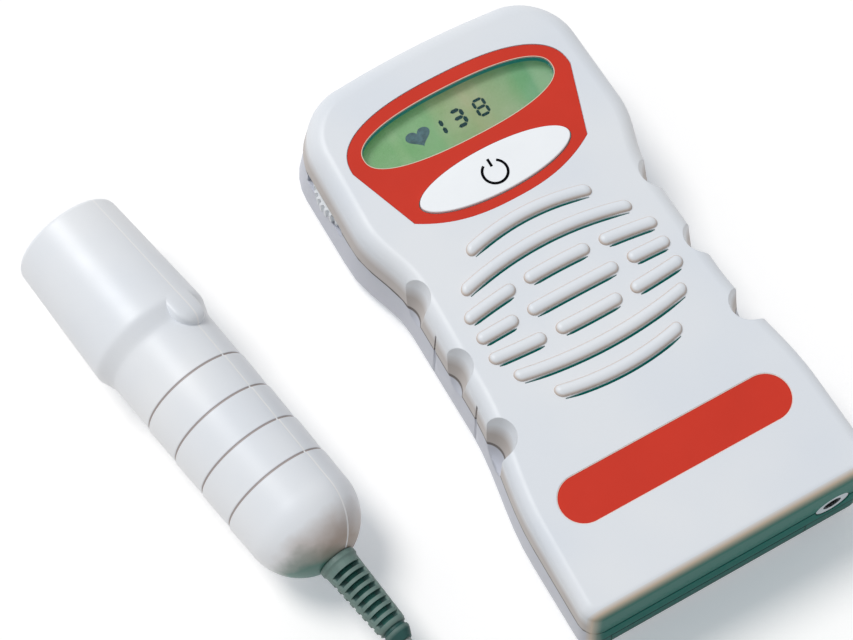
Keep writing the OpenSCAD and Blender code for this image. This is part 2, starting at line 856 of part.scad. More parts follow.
module case_screws() {
    slot_depth = 0.8;
    color(steel_grey) for (p = screw_places)
        translate([p[0], p[1], screw_seat_z - 1.6]) difference() {
            union() {
                cylinder(r = screw_head, h = 1.6);
                cylinder(r = screw_shank, h = 1.6 + screw_length);
            }
            for (turn = [0, 90]) rotate([0, 0, turn])
                translate([-1.5, -0.3, -1]) cube([3, 0.6, 1 + slot_depth]);
        }
}

module speaker_gasket() {
    color([0.18, 0.18, 0.19]) translate([0, grille_y, speaker_z])
        difference() {
            cylinder(r = speaker_radius, h = gasket);
            translate([0, 0, -1]) cylinder(r = speaker_radius - 2.5, h = gasket + 2);
        }
}

// Pressed frame of the loudspeaker: a flange and a basket that narrows to the magnet
module speaker_frame() {
    r = speaker_radius;
    color(steel_grey) translate([0, grille_y, 0]) rotate_extrude()
        polygon([
            [magnet_radius * 0.6, basket_z], [magnet_radius + 2, basket_z],
            [r - 2.5, speaker_z - flange_thickness - 1], [r - 2.5, speaker_z - flange_thickness],
            [r, speaker_z - flange_thickness], [r, speaker_z], [r - 3.3, speaker_z],
            [r - 3.3, speaker_z - flange_thickness - 0.6], [magnet_radius + 1.6, basket_z + 0.8],
            [magnet_radius * 0.6, basket_z + 0.8]
        ]);
}

// Paper cone with its surround and dust cap
module speaker_cone() {
    r = speaker_radius - 3.6;
    low_z = basket_z + 1.6;
    rim_z = speaker_z - 0.6;
    color([0.25, 0.22, 0.20]) translate([0, grille_y, 0]) rotate_extrude()
        polygon([
            [0, low_z + 0.6], [7, low_z], [r - 2, rim_z - 0.6], [r, rim_z - 0.6],
            [r, rim_z], [r - 2.4, rim_z], [7, low_z + 0.8], [4, low_z + 1.6], [0, low_z + 2]
        ]);
}

module speaker_magnet() {
    color([0.30, 0.31, 0.33]) translate([0, grille_y, magnet_low_z])
        cylinder(r = magnet_radius, h = magnet_height);
}

// A tube through points, each ring turned about a level side line
function tube_ring(p, along, r, sides, aside) =
    let (
        side = unit(cross(aside, along)),
        over = cross(along, side)
    )
    [for (i = [0:sides - 1]) p + r * (cos(360 * i / sides) * side + sin(360 * i / sides) * over)];
module tube(points, r, sides, aside = [0, 0, 1], start = [0, 0, 0], finish = [0, 0, 0]) {
    last = len(points) - 1;
    function along(i) = i == 0 && norm(start) > 0 ? unit(start)
        : i == last && norm(finish) > 0 ? unit(finish)
        : unit(points[min(i + 1, last)] - points[max(i - 1, 0)]);
    rings = [for (i = [0:last]) tube_ring(points[i], along(i), r, sides, aside)];
    loft(rings);
}

// A smooth line through hand-placed points, with steps pieces between two of them
function curve_through(p, steps) = concat(
    [for (i = [0:len(p) - 2]) for (k = [0:steps - 1])
        let (
            t = k / steps,
            a = p[max(i - 1, 0)],
            b = p[i],
            c = p[i + 1],
            d = p[min(i + 2, len(p) - 1)]
        )
        0.5 * (2 * b + (c - a) * t + (2 * a - 5 * b + 4 * c - d) * t * t
            + (3 * b - a - 3 * c + d) * t * t * t)
    ],
    [p[len(p) - 1]]
);
function path_length(p) =
    len(p) < 2 ? 0 : [for (i = [1:len(p) - 1]) norm(p[i] - p[i - 1])] * [for (i = [1:len(p) - 1]) 1];

// Two leads from the loudspeaker's frame to the board
lead_radius = 0.6;
module speaker_leads() {
    lead_z = speaker_z - flange_thickness;
    for (side = [0, 1]) {
        x = 6 + 5 * side;
        y = grille_y + sqrt(pow(speaker_radius - 1.2, 2) - x * x);
        color(side == 0 ? "darkred" : "black")
            tube([
                [x, y, lead_z], [x, y, lead_z - 2.5], [x, mix(y, board_start_y + 3, 0.4), board_low_z - 1.6],
                [x, board_start_y + 2.4, board_low_z - 2], [x, board_start_y + 3, board_low_z - 1.2],
                [x, board_start_y + 3, board_low_z]
            ], lead_radius, 6, [1, 0, 0], [0, 0, -1], [0, 0, 1]);
    }
}

module volume_wheel() {
    tooth = 0.45;
    color(case_white) translate([wheel_x, wheel_y, wheel_z - wheel_thickness / 2])
        difference() {
            cylinder(r = wheel_radius, h = wheel_thickness, $fn = 96);
            translate([0, 0, -1]) cylinder(r = pot_shaft + shaft_clearance, h = wheel_thickness + 2);
            for (i = [0:wheel_teeth - 1]) rotate([0, 0, 360 * i / wheel_teeth])
                translate([wheel_radius, 0, -1])
                    rotate([0, 0, 45]) translate([-tooth, -tooth, 0])
                        cube([2 * tooth, 2 * tooth, wheel_thickness + 2]);
        }
}

module volume_pot() {
    body_low_z = wheel_top_z + 0.2;
    stub = wheel_thickness + 0.4;
    color([0.16, 0.17, 0.20]) translate([wheel_x, wheel_y, 0]) {
        translate([0, 0, body_low_z]) cylinder(r = pot_radius, h = board_low_z - body_low_z);
        translate([0, 0, body_low_z - stub]) cylinder(r = pot_shaft, h = stub);
        translate([0, 0, body_low_z - stub - 0.6]) cylinder(r = pot_shaft + 1, h = 0.6);
    }
}

module probe_socket() {
    color([0.13, 0.14, 0.15]) translate([socket_x, socket_front_y, socket_z]) rotate([-90, 0, 0])
        difference() {
            union() {
                cylinder(r = socket_radius, h = socket_length);
                translate([0, 0, wall - 1.2 + part_clearance + 0.1])
                    cylinder(r = socket_flange, h = 2);
            }
            translate([0, 0, -1]) cylinder(r = pin_radius + pin_gap, h = pin_length + 1);
        }
}

module socket_ring() {
    color(steel_grey) translate([socket_x, socket_front_y, socket_z]) rotate([90, 0, 0])
        difference() {
            cylinder(r = socket_radius + 0.6, h = ring_thickness);
            translate([0, 0, -1]) cylinder(r = pin_radius + 0.6, h = ring_thickness + 2);
        }
}

// The cells lie head to tail: each place is the negative end's x, the y and the way it points
cell_places = [
    [bay_left_x + contact_thickness + spring_length, cell_low_y, 1],
    [bay_right_x - contact_thickness - spring_length, cell_high_y, -1]
];
module battery_cells() {
    for (c = cell_places) translate([c[0], c[1], cell_z]) rotate([0, 90 * c[2], 0]) {
        color([0.15, 0.17, 0.20]) cylinder(r = cell_radius, h = cell_length);
        color(steel_grey) cylinder(r = nub_radius, h = cell_length + nub_length);
    }
}

module battery_springs() {
    spring_outer = 4.4;
    wire = 0.8;
    color(steel_grey) for (c = cell_places)
        translate([c[0], c[1], cell_z]) rotate([0, -90 * c[2], 0]) difference() {
            cylinder(r = spring_outer, h = spring_length);
            translate([0, 0, -1]) cylinder(r = spring_outer - wire, h = spring_length + 2);
        }
}

module battery_contacts() {
    plate = 10;
    color(steel_grey) for (x = [bay_left_x, bay_right_x - contact_thickness], y = [cell_low_y, cell_high_y])
        translate([x, y - plate / 2, cell_z - plate / 2]) cube([contact_thickness, plate, plate]);
}

// Leads that run from the bay's roof past the loudspeaker to the board
module battery_leads() {
    roof_z = bay_top_z + bay_wall;
    for (side = [0, 1]) {
        x = -20 + 3 * side;
        end_y = board_start_y + 3;
        color(side == 0 ? "darkred" : "black")
            tube([
                [x, bay_high_y - 4, roof_z], [x, bay_high_y - 4, roof_z + 2], [x, bay_high_y + 1, roof_z + 1.5],
                [x, grille_y - 20, board_low_z - 5], [x, grille_y, board_low_z - 5],
                [x, end_y - 8, board_low_z - 5], [x, end_y - 0.6, board_low_z - 2.6],
                [x, end_y, board_low_z - 1.2], [x, end_y, board_low_z]
            ], lead_radius, 6, [1, 0, 0], [0, 0, 1], [0, 0, 1]);
    }
}

// Probe: its own z runs from the front rim to the dome, and its seam plane holds x = 0
neck_length = 4;
dome_start = probe_length - grip_radius;
relief_hole = 3;
first_ring = probe_head_length + 17.7;
probe_tilt = asin((probe_head_radius - grip_radius) / (dome_start - probe_head_length));
probe_front = [-95.9, 72.5, probe_head_radius + probe_head_length * sin(probe_tilt)];
probe_along = [
    sin(probe_heading) * cos(probe_tilt),
    -cos(probe_heading) * cos(probe_tilt),
    -sin(probe_tilt)
];
module place_probe() {
    translate(probe_front)
        rotate([90 + probe_tilt, 0, probe_heading])
            rotate([0, 0, -probe_roll]) children();
}

// Half profile of the probe's outside; skin moves it in for the wall
function probe_profile(skin) = concat(
    [[probe_front_radius - skin, 0]],
    [[probe_head_radius - skin, probe_head_length], [grip_radius - skin, probe_head_length + neck_length]],
    [for (turn = [0:10:70]) [
        (grip_radius - skin) * cos(turn),
        dome_start + (grip_radius - skin) * sin(turn)
    ]]
);
module probe_half() {
    outer = probe_profile(0);
    inner = probe_profile(probe_wall);
    tip_z = probe_length - 0.6;
    face_seat = 3;
    difference() {
        rotate([0, 0, -90]) rotate_extrude(angle = 180, $fn = 96) difference() {
            polygon(concat([[0, 0]], outer, [[relief_hole + 1.2, tip_z], [0, tip_z]]));
            polygon(concat([[0, face_seat]], [[probe_front_radius - probe_wall, face_seat]],
                [for (i = [1:len(inner) - 1]) inner[i]], [[0, inner[len(inner) - 1][1]]]));
            translate([-1, -1]) square([probe_front_radius - probe_wall + 1, face_seat + 2]);
            translate([-1, probe_length - 6]) square([relief_hole + 0.05 + 1, 8]);
            for (i = [0:ring_count - 1])
                translate([grip_radius, first_ring + i * ring_pitch])
                    square([2 * ring_depth, ring_depth], center = true);
        }
    }
}

// The tongue continues the head over the neck, and the seam halves it
module probe_tongue() {
    r = probe_head_radius;
    tip = probe_head_length + tongue_length;
    intersection() {
        rotate([0, 0, -90]) rotate_extrude(angle = 180, $fn = 96) polygon([
            [grip_radius - 0.5, probe_head_length - 6], [r - 0.2, probe_head_length - 6],
            [r + 0.1, probe_head_length], [r, tip + 1], [grip_radius - 0.5, tip + 1]
        ]);
        translate([0, r + 2, 0]) rotate([90, 0, 0]) linear_extrude(r + 2) {
            translate([0, probe_head_length - 7]) square([tongue_width / 2, tongue_length + 7 - tongue_width / 2]);
            translate([0, tip - tongue_width / 2]) circle(r = tongue_width / 2);
        }
    }
}
module half_probe_shell() {
    probe_half();
    probe_tongue();
}
module probe_shell_left() {
    color(case_white) place_probe() mirror([1, 0, 0]) half_probe_shell();
}
module probe_shell_right() {
    color(case_white) place_probe() half_probe_shell();
}

// Transducer behind the front rim: lens, two crystals, backing
face_thickness = 3;
face_bulge = 0.8;
crystal_thickness = 0.8;
backing_depth = 7;
transducer_radius = probe_front_radius - probe_wall - 0.1;
module probe_face() {
    color([0.35, 0.42, 0.52]) place_probe() rotate_extrude() polygon(concat(
        [for (t = [0:0.2:1]) [transducer_radius * t, -face_bulge * (1 - t * t)]],
        [[transducer_radius, face_thickness], [0, face_thickness]]
    ));
}
module probe_crystals() {
    color([0.78, 0.70, 0.50]) place_probe() translate([0, 0, face_thickness])
        difference() {
            cylinder(r = transducer_radius - 1.5, h = crystal_thickness);
            translate([-0.5, -20, -1]) cube([1, 40, crystal_thickness + 2]);
        }
}
module probe_backing() {
    color([0.22, 0.22, 0.24]) place_probe()
        translate([0, 0, face_thickness + crystal_thickness])
            cylinder(r = transducer_radius - 1.5, h = backing_depth);
}
probe_board_width = 18;
probe_board_length = 50;
module probe_board() {
    board_from = face_thickness + crystal_thickness + backing_depth;
    color(board_green) place_probe()
        translate([-board_thickness / 2, -probe_board_width / 2, board_from])
            cube([board_thickness, probe_board_width, probe_board_length]);
}

// Strain relief: a flange inside the dome, ribs outside, and a plain collar at the cord
relief_radius = 4.4;
relief_core = 2.7;
collar_length = 4;
cord_radius = cord_diameter / 2;
module probe_relief() {
    rib_pitch = (relief_length - collar_length - 1) / relief_ribs;
    tip_radius = relief_radius * 0.84;
    color(relief_grey) place_probe() {
        translate([0, 0, probe_length - 6]) cylinder(r = relief_hole, h = 7);
        translate([0, 0, probe_length - 0.6]) cylinder(r = relief_radius + 0.3, h = 1.6);
        translate([0, 0, probe_length]) cylinder(r = relief_core, h = relief_length - 1);
        for (i = [0:relief_ribs - 1])
            translate([0, 0, probe_length + 1 + (i + 0.45) * rib_pitch])
                cylinder(r = mix(relief_radius, tip_radius, i / relief_ribs), h = rib_pitch * 0.55);
        translate([0, 0, probe_length + relief_length - collar_length])
            rotate_extrude() polygon([
                [0, 0], [3.2, 0], [3.4, 0.6], [3.4, 1.4], [2.9, 1.9],
                [cord_radius + 0.5, collar_length], [0, collar_length]
            ]);
    }
}

// Free cord: down from the strain relief to the floor, then to the coil
cord_exit = probe_front + (probe_length + relief_length) * probe_along;
cord_down = [[-72.9, -68, 9.6], [-76.3, -76.5, 4.8]];
coil_centre = [-63, -108, cord_radius];
coil_outer = 28.4;
coil_pitch = cord_diameter + coil_clearance;
coil_entry = 150;
function coil_heading(angle) = [-sin(angle), cos(angle), 0];
coil_way_in = coil_heading(coil_entry);
coil_start = coil_centre + coil_outer * [cos(coil_entry), sin(coil_entry), 0] - cord_diameter * coil_way_in;
run_points = concat(
    [cord_exit, cord_exit + cord_diameter * probe_along, cord_exit + 2 * cord_diameter * probe_along],
    cord_down,
    [for (back = [2:-1:0]) coil_start - back * cord_diameter * coil_way_in]
);
module cord_run() {
    color(relief_grey)
        tube(curve_through(run_points, 2), cord_radius, 8, [0, 0, 1], probe_along, coil_way_in);
}

// Coil: the turns spiral in on the floor, climb at the middle and spiral out on top
coil_rings = 24;
turn_back = coil_turns / 2;
function coil_spiral(turn) =
    let (away = abs(turn - turn_back))
    away > 0.25 ? away : 0.125 + 2 * away * away;
coil_inner = coil_outer - coil_pitch * (turn_back - 0.125);
function coil_radius(turn) = coil_inner + coil_pitch * (coil_spiral(turn) - 0.125);
function coil_point(turn) =
    let (a = coil_entry + 360 * turn, r = coil_radius(turn))
    coil_centre + [
        r * cos(a), r * sin(a),
        coil_pitch * smooth((turn - turn_back) / 0.5 + 0.5)
    ];
coil_way_out = coil_heading(coil_entry + 360 * coil_turns);
coil_end = coil_point(coil_turns) + cord_diameter * coil_way_out;
coil_path = concat(
    [coil_start],
    [for (i = [0:coil_turns * coil_rings]) coil_point(i / coil_rings)],
    [coil_end]
);
coil_gap = min([for (i = [0:len(coil_path) - 1])
    for (k = [i + coil_rings / 2:len(coil_path) - 1]) norm(coil_path[i] - coil_path[k])]) - cord_diameter;
module cord_coil() {
    echo(coil_gap = coil_gap);
    echo(coil_length = path_length(coil_path));
    color(relief_grey) tube(coil_path, cord_radius, 6, [0, 0, 1], coil_way_in, coil_way_out);
}

// Cord's tail: from the top turn down to the plug that lies beside the coil
plug_relief_length = 12;
plug_start = [-47.5, coil_end[1] - 7.55, plug_radius];
tail_points = [
    coil_end, coil_end + cord_diameter * coil_way_out,
    coil_end + 2 * cord_diameter * coil_way_out - [0, 0, 0.3],
    [-62, plug_start[1] + 1.5, 4.1], [-55.5, plug_start[1] + 0.2, plug_radius - 0.4],
    plug_start - [cord_diameter, 0, 0], plug_start
];
module cord_tail() {
    echo(cord_length = path_length(curve_through(run_points, 2)) + path_length(coil_path)
        + path_length(curve_through(tail_points, 2)));
    color(relief_grey)
        tube(curve_through(tail_points, 2), cord_radius, 8, [0, 0, 1], coil_way_out, [1, 0, 0]);
}

module along_plug() {
    translate(plug_start) rotate([0, 90, 0]) children();
}
module plug_relief() {
    color(relief_grey) along_plug() rotate_extrude() polygon([
        [0, 0], [cord_radius + 0.5, 0], [3, plug_relief_length - 1],
        [3, plug_relief_length], [0, plug_relief_length]
    ]);
}
module plug_body() {
    r = plug_radius;
    color([0.22, 0.24, 0.25]) along_plug() translate([0, 0, plug_relief_length])
        rotate_extrude() polygon([
            [0, 0], [r - 1, 0], [r, 1.5], [r, plug_length - 4], [r - 0.8, plug_length - 3.2],
            [r - 0.8, plug_length], [0, plug_length]
        ]);
}
module plug_pin() {
    groove = pin_length * 0.75;
    color(steel_grey) along_plug() translate([0, 0, plug_relief_length + plug_length])
        rotate_extrude() polygon([
            [0, 0], [pin_radius, 0], [pin_radius, groove], [pin_radius - 0.5, groove + 0.5],
            [pin_radius - 0.1, pin_length - 1.2], [pin_radius - 0.9, pin_length], [0, pin_length]
        ]);
}

front_shell();
rear_shell();
battery_door();
control_panel();
label_plate();
display_window();
display_glass();
display_backlight();
display_holder();
power_button();
switch_body();
switch_plunger();
main_board();
board_chips();
board_screws();
case_screws();
speaker_gasket();
speaker_frame();
speaker_cone();
speaker_magnet();
speaker_leads();
volume_wheel();
volume_pot();
probe_socket();
socket_ring();
battery_cells();
battery_springs();
battery_contacts();
battery_leads();
probe_shell_left();
probe_shell_right();
probe_face();
probe_crystals();
probe_backing();
probe_board();
probe_relief();
cord_run();
cord_coil();
cord_tail();
plug_relief();
plug_body();
plug_pin();
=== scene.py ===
import bpy
import json
import math
from mathutils import Matrix, Vector


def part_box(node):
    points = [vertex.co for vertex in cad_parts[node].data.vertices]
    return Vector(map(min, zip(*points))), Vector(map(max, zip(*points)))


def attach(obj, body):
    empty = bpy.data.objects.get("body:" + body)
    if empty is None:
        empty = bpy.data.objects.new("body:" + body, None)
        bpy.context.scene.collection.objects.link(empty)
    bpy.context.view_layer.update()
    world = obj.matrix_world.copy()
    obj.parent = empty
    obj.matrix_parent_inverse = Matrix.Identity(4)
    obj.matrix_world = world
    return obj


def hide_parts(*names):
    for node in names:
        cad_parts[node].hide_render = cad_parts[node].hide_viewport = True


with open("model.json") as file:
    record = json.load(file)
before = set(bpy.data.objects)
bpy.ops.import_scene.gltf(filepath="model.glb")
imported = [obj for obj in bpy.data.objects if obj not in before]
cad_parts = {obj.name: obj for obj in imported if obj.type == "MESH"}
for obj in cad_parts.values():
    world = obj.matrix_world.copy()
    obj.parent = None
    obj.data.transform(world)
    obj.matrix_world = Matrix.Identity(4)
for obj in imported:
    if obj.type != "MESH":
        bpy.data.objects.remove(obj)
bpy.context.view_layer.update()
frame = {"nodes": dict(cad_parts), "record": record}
nodes = frame["nodes"]
print("frame loaded:", len(nodes), "nodes")

mm = 0.001


def deselectAll():
    if bpy.context.object and bpy.context.object.mode != "OBJECT":
        bpy.ops.object.mode_set(mode="OBJECT")
    bpy.ops.object.select_all(action="DESELECT")


def makeActive(piece):
    deselectAll()
    piece.select_set(True)
    bpy.context.view_layer.objects.active = piece


# camera at the photograph's place
cameraSetup = {
    "place": (-0.125556, -0.187608, 0.531406),
    "turn": (23.01148, 1.654857, -29.365759),  # degrees
    "lens": 99.757,
    "sensorWidth": 36.0,
}
bpy.ops.object.camera_add(
    location=cameraSetup["place"],
    rotation=[math.radians(angle) for angle in cameraSetup["turn"]],
)
camera = bpy.context.object
camera.data.lens = cameraSetup["lens"]
camera.data.sensor_fit = "HORIZONTAL"
camera.data.sensor_width = cameraSetup["sensorWidth"]
camera.data.clip_start = 0.01
camera.data.clip_end = 20
bpy.context.scene.camera = camera
bpy.context.scene.view_settings.view_transform = "Standard"
print("camera set")


def screen(red, green, blue):
    # a colour as it is read off the picture, 0 to 255, made linear
    def linear(value):
        value = value / 255
        return value / 12.92 if value <= 0.04045 else ((value + 0.055) / 1.055) ** 2.4
    return (linear(red), linear(green), linear(blue), 1.0)


# finishes
def startFinish(name):
    finish = bpy.data.materials.new(name)
    finish.use_nodes = True
    tree = finish.node_tree
    shader = tree.nodes["Principled BSDF"]
    place = tree.nodes.new("ShaderNodeTexCoord")
    return finish, tree, shader, place.outputs["Object"]


def addNoise(tree, place, size, detail=3, roughness=0.5):
    # size is the rough size of one patch, in millimetres
    noise = tree.nodes.new("ShaderNodeTexNoise")
    noise.inputs["Scale"].default_value = 1000 / size
    noise.inputs["Detail"].default_value = detail
    noise.inputs["Roughness"].default_value = roughness
    tree.links.new(place, noise.inputs["Vector"])
    return noise.outputs["Fac"]


def addRamp(tree, value, stops):
    ramp = tree.nodes.new("ShaderNodeValToRGB")
    band = ramp.color_ramp
    while len(band.elements) < len(stops):
        band.elements.new(0.5)
    for element, (where, colour) in zip(band.elements, stops):
        element.position = where
        element.color = colour
    tree.links.new(value, ramp.inputs["Fac"])
    return ramp.outputs["Color"]


def addMix(tree, share, first, second, blend="MIX"):
    mix = tree.nodes.new("ShaderNodeMix")
    mix.data_type = "RGBA"
    mix.blend_type = blend
    for socket, value in ((mix.inputs[0], share), (mix.inputs[6], first), (mix.inputs[7], second)):
        if hasattr(value, "is_output"):
            tree.links.new(value, socket)
        else:
            socket.default_value = value
    return mix.outputs[2]


def addMaths(tree, operation, first, second=0.0, clamp=False):
    node = tree.nodes.new("ShaderNodeMath")
    node.operation = operation
    node.use_clamp = clamp
    for socket, value in ((node.inputs[0], first), (node.inputs[1], second)):
        if hasattr(value, "is_output"):
            tree.links.new(value, socket)
        else:
            socket.default_value = value
    return node.outputs[0]


def addProduct(tree, first, *others):
    for other in others:
        first = addMaths(tree, "MULTIPLY", first, other)
    return first


def addWobble(tree, noise, height):
    # the noise, centred on nought
    return addProduct(tree, addMaths(tree, "SUBTRACT", noise, 0.5), height)


def addVector(tree, operation, first, second=None, output="Value"):
    node = tree.nodes.new("ShaderNodeVectorMath")
    node.operation = operation
    tree.links.new(first, node.inputs[0])
    if second is not None:
        node.inputs[1].default_value = second
    return node.outputs[output]


def splitPlace(tree, place):
    split = tree.nodes.new("ShaderNodeSeparateXYZ")
    tree.links.new(place, split.inputs["Vector"])
    return split.outputs["X"], split.outputs["Y"], split.outputs["Z"]


def addSpeck(tree, place, size, dark):
    # a fine mottle between the dark tone and white
    return addRamp(tree, addNoise(tree, place, size), [(0.3, screen(*dark)), (0.7, screen(255, 255, 255))])


def addShine(tree, shader, place, size, low, high):
    shine = tree.nodes.new("ShaderNodeMapRange")
    shine.inputs["To Min"].default_value = low
    shine.inputs["To Max"].default_value = high
    tree.links.new(addNoise(tree, place, size), shine.inputs["Value"])
    tree.links.new(shine.outputs["Result"], shader.inputs["Roughness"])


def addSpan(tree, value, low, high):
    # 0 at low and 1 at high, both in millimetres
    span = tree.nodes.new("ShaderNodeMapRange")
    span.inputs["From Min"].default_value = low * mm
    span.inputs["From Max"].default_value = high * mm
    tree.links.new(value, span.inputs["Value"])
    return span.outputs["Result"]


def addGrain(tree, shader, place, size, height, edge=0.0):
    # a fine bump, and soft edges where edge is above zero
    bump = tree.nodes.new("ShaderNodeBump")
    bump.inputs["Distance"].default_value = height * mm
    bump.inputs["Strength"].default_value = 0.6
    tree.links.new(addNoise(tree, place, size, 4), bump.inputs["Height"])
    if edge > 0:
        soft = tree.nodes.new("ShaderNodeBevel")
        soft.samples = 4
        soft.inputs["Radius"].default_value = edge * mm
        tree.links.new(soft.outputs["Normal"], bump.inputs["Normal"])
    tree.links.new(bump.outputs["Normal"], shader.inputs["Normal"])


def toned(colour, factor):
    return tuple(min(1.0, channel * factor) for channel in colour[:3]) + (1.0,)


def moulded(
    name, colour, rough=0.45, patch=9.0, spread=0.05, grain=0.35, height=0.02, edge=0.0, metal=0.0,
    coat=0.0, gloss=0.5,
):
    # moulded, rolled or printed stuff: patchy colour, patchy gloss and a fine grain
    finish, tree, shader, place = startFinish(name)
    patches = addNoise(tree, place, patch)
    tree.links.new(
        addRamp(tree, patches, [(0.3, toned(colour, 1 - spread)), (0.7, toned(colour, 1 + spread))]),
        shader.inputs["Base Color"],
    )
    addShine(tree, shader, place, patch * 0.4, rough * 0.88, min(1.0, rough * 1.12))
    shader.inputs["Specular IOR Level"].default_value = gloss
    shader.inputs["Metallic"].default_value = metal
    shader.inputs["Coat Weight"].default_value = coat
    addGrain(tree, shader, place, grain, height, edge)
    return finish


# white and cool vary at random; the foot, wall, slit and bar-flank tones are painted shade, and the seam and foot
# lines are dark joints deepened by painted shade
shellLook = {
    "white": screen(229, 233, 238),
    "cool": screen(222, 228, 236),
    "footWarmShade": screen(206, 190, 170),
    "footGreyShade": screen(78, 130, 122),
    "footTealShade": screen(0, 104, 94),
    "footDarkShade": screen(0, 84, 78),
    "footLine": screen(0, 56, 54),
    "slitShadeTeal": screen(0, 86, 80),
    "wallUpperShade": screen(184, 177, 173),
    "wallLowerShade": screen(192, 196, 208),
    "seam": screen(96, 88, 84),
    "barFlankShade": screen(206, 190, 178),
    "roughness": (0.37, 0.48),
    "flankShadeRise": (28.04, 28.45, 28.95),
    "shadeLiningTop": 27.45,
    "shadeLiningHalf": (27.6, 66),
    "footLines": (15.65, 8.4),
}


def shellFinish():
    finish, tree, shader, place = startFinish("caseShell")
    across, along, up = splitPlace(tree, place)
    body = addRamp(
        tree, addNoise(tree, place, 34, 2), [(0.35, shellLook["white"]), (0.7, shellLook["cool"])]
    )
    # painted shade: the walls read a little darker and warmer than the face, with a dark line at the parting that
    # is partly joint and partly painted shade, and the bars have warm flanks of painted shade
    wallShade = addRamp(
        tree,
        addSpan(tree, up, 0, 28),
        [
            (0.5, shellLook["wallLowerShade"]), (0.535, shellLook["wallLowerShade"]), (0.545, shellLook["seam"]),
            (0.572, shellLook["seam"]), (0.582, shellLook["wallUpperShade"]), (0.76, shellLook["wallUpperShade"]),
        ],
    )
    body = addMix(tree, addSpan(tree, up, 24.5, 20), body, wallShade)
    # painted shade on the bars' lower flanks, by height above the face
    base, low, high = shellLook["flankShadeRise"]
    flankShade = addProduct(tree, addMaths(tree, "GREATER_THAN", up, base * mm), addSpan(tree, up, high, low))
    body = addMix(tree, flankShade, body, shellLook["barFlankShade"])
    # painted shade: teal in the slits and on the window's wall
    halfAcross, halfAlong = shellLook["shadeLiningHalf"]
    below = addMaths(tree, "LESS_THAN", up, shellLook["shadeLiningTop"] * mm)
    middle = addMaths(tree, "LESS_THAN", addMaths(tree, "ABSOLUTE", across), halfAcross * mm)
    inner = addMaths(tree, "LESS_THAN", addMaths(tree, "ABSOLUTE", along), halfAlong * mm)
    slitShadeMask = addProduct(tree, below, middle, inner)
    slitShaded = addMix(tree, slitShadeMask, body, shellLook["slitShadeTeal"])
    # painted shade on the foot wall: beige on the turn of the face's edge, then teal, darker towards the table,
    # crossed by two dark joint lines
    footShadeShare = addSpan(tree, along, -73.3, -75.45)
    footShadeRows = addRamp(
        tree,
        addMaths(tree, "ADD", addSpan(tree, up, 0, 28), addWobble(tree, addNoise(tree, place, 0.9, 3), 0.25)),
        [
            (0.10, shellLook["footDarkShade"]), (0.30, shellLook["footTealShade"]), (0.52, shellLook["footTealShade"]),
            (0.72, shellLook["footGreyShade"]), (0.9, shellLook["footGreyShade"]),
        ],
    )
    for height in shellLook["footLines"]:
        near = addMaths(tree, "ABSOLUTE", addMaths(tree, "SUBTRACT", up, height * mm))
        footShadeRows = addMix(tree, addSpan(tree, near, 0.65, 0.3), footShadeRows, shellLook["footLine"])
    edge = addMix(tree, addSpan(tree, along, -74.3, -75.35), shellLook["footWarmShade"], footShadeRows)
    foot = addMix(tree, addSpan(tree, along, -73.1, -74.3), slitShaded, edge)
    onFoot = addMaths(tree, "GREATER_THAN", footShadeShare, 0.0001)
    # the gloss is turned down under the foot's painted shade
    gloss = addMaths(tree, "SUBTRACT", 0.5, addProduct(tree, footShadeShare, 0.47))
    tree.links.new(addMix(tree, onFoot, slitShaded, foot), shader.inputs["Base Color"])
    tree.links.new(gloss, shader.inputs["Specular IOR Level"])
    # the same painted shade glows a little, lifting the slits' dark to teal
    shader.inputs["Emission Color"].default_value = shellLook["slitShadeTeal"]
    tree.links.new(addProduct(tree, slitShadeMask, 0.7), shader.inputs["Emission Strength"])
    addShine(tree, shader, place, 5, *shellLook["roughness"])
    addGrain(tree, shader, place, 0.4, 0.012, 0.25)
    return finish


def displayFinish():
    # pale green pane with soft slanting streaks of painted reflection
    finish, tree, shader, place = startFinish("displayGreen")
    streak = tree.nodes.new("ShaderNodeMapping")
    streak.inputs["Rotation"].default_value = (0, 0, math.radians(12))
    streak.inputs["Scale"].default_value = (1.0, 0.12, 1.0)
    tree.links.new(place, streak.inputs["Vector"])
    bands = addNoise(tree, streak.outputs["Vector"], 11, 1, 0.35)
    across = addSpan(tree, splitPlace(tree, place)[0], -25, 25)
    tone = addRamp(
        tree,
        addMaths(tree, "ADD", across, addWobble(tree, bands, 0.35)),
        [
            (0.1, screen(116, 166, 112)), (0.36, screen(122, 168, 118)), (0.52, screen(158, 166, 126)),
            (0.64, screen(156, 168, 130)), (0.8, screen(108, 162, 116)), (0.97, screen(99, 158, 117)),
        ],
    )
    reflectionStreaks = addMaths(tree, "MULTIPLY", addMaths(tree, "SUBTRACT", bands, 0.52, True), 4.0, True)
    tone = addMix(tree, reflectionStreaks, tone, screen(190, 204, 168))
    lit = addMix(tree, 0.35, tone, addSpeck(tree, place, 0.5, (216, 222, 213)), "MULTIPLY")
    # the pane glows a little, painted light that lifts the shade under the window's wall, and its base is dimmed
    # to match
    tree.links.new(addMix(tree, 1.0, lit, (0.75, 0.75, 0.75, 1), "MULTIPLY"), shader.inputs["Base Color"])
    tree.links.new(lit, shader.inputs["Emission Color"])
    shader.inputs["Emission Strength"].default_value = 0.42
    shader.inputs["Roughness"].default_value = 0.35
    addGrain(tree, shader, place, 0.6, 0.004)
    return finish


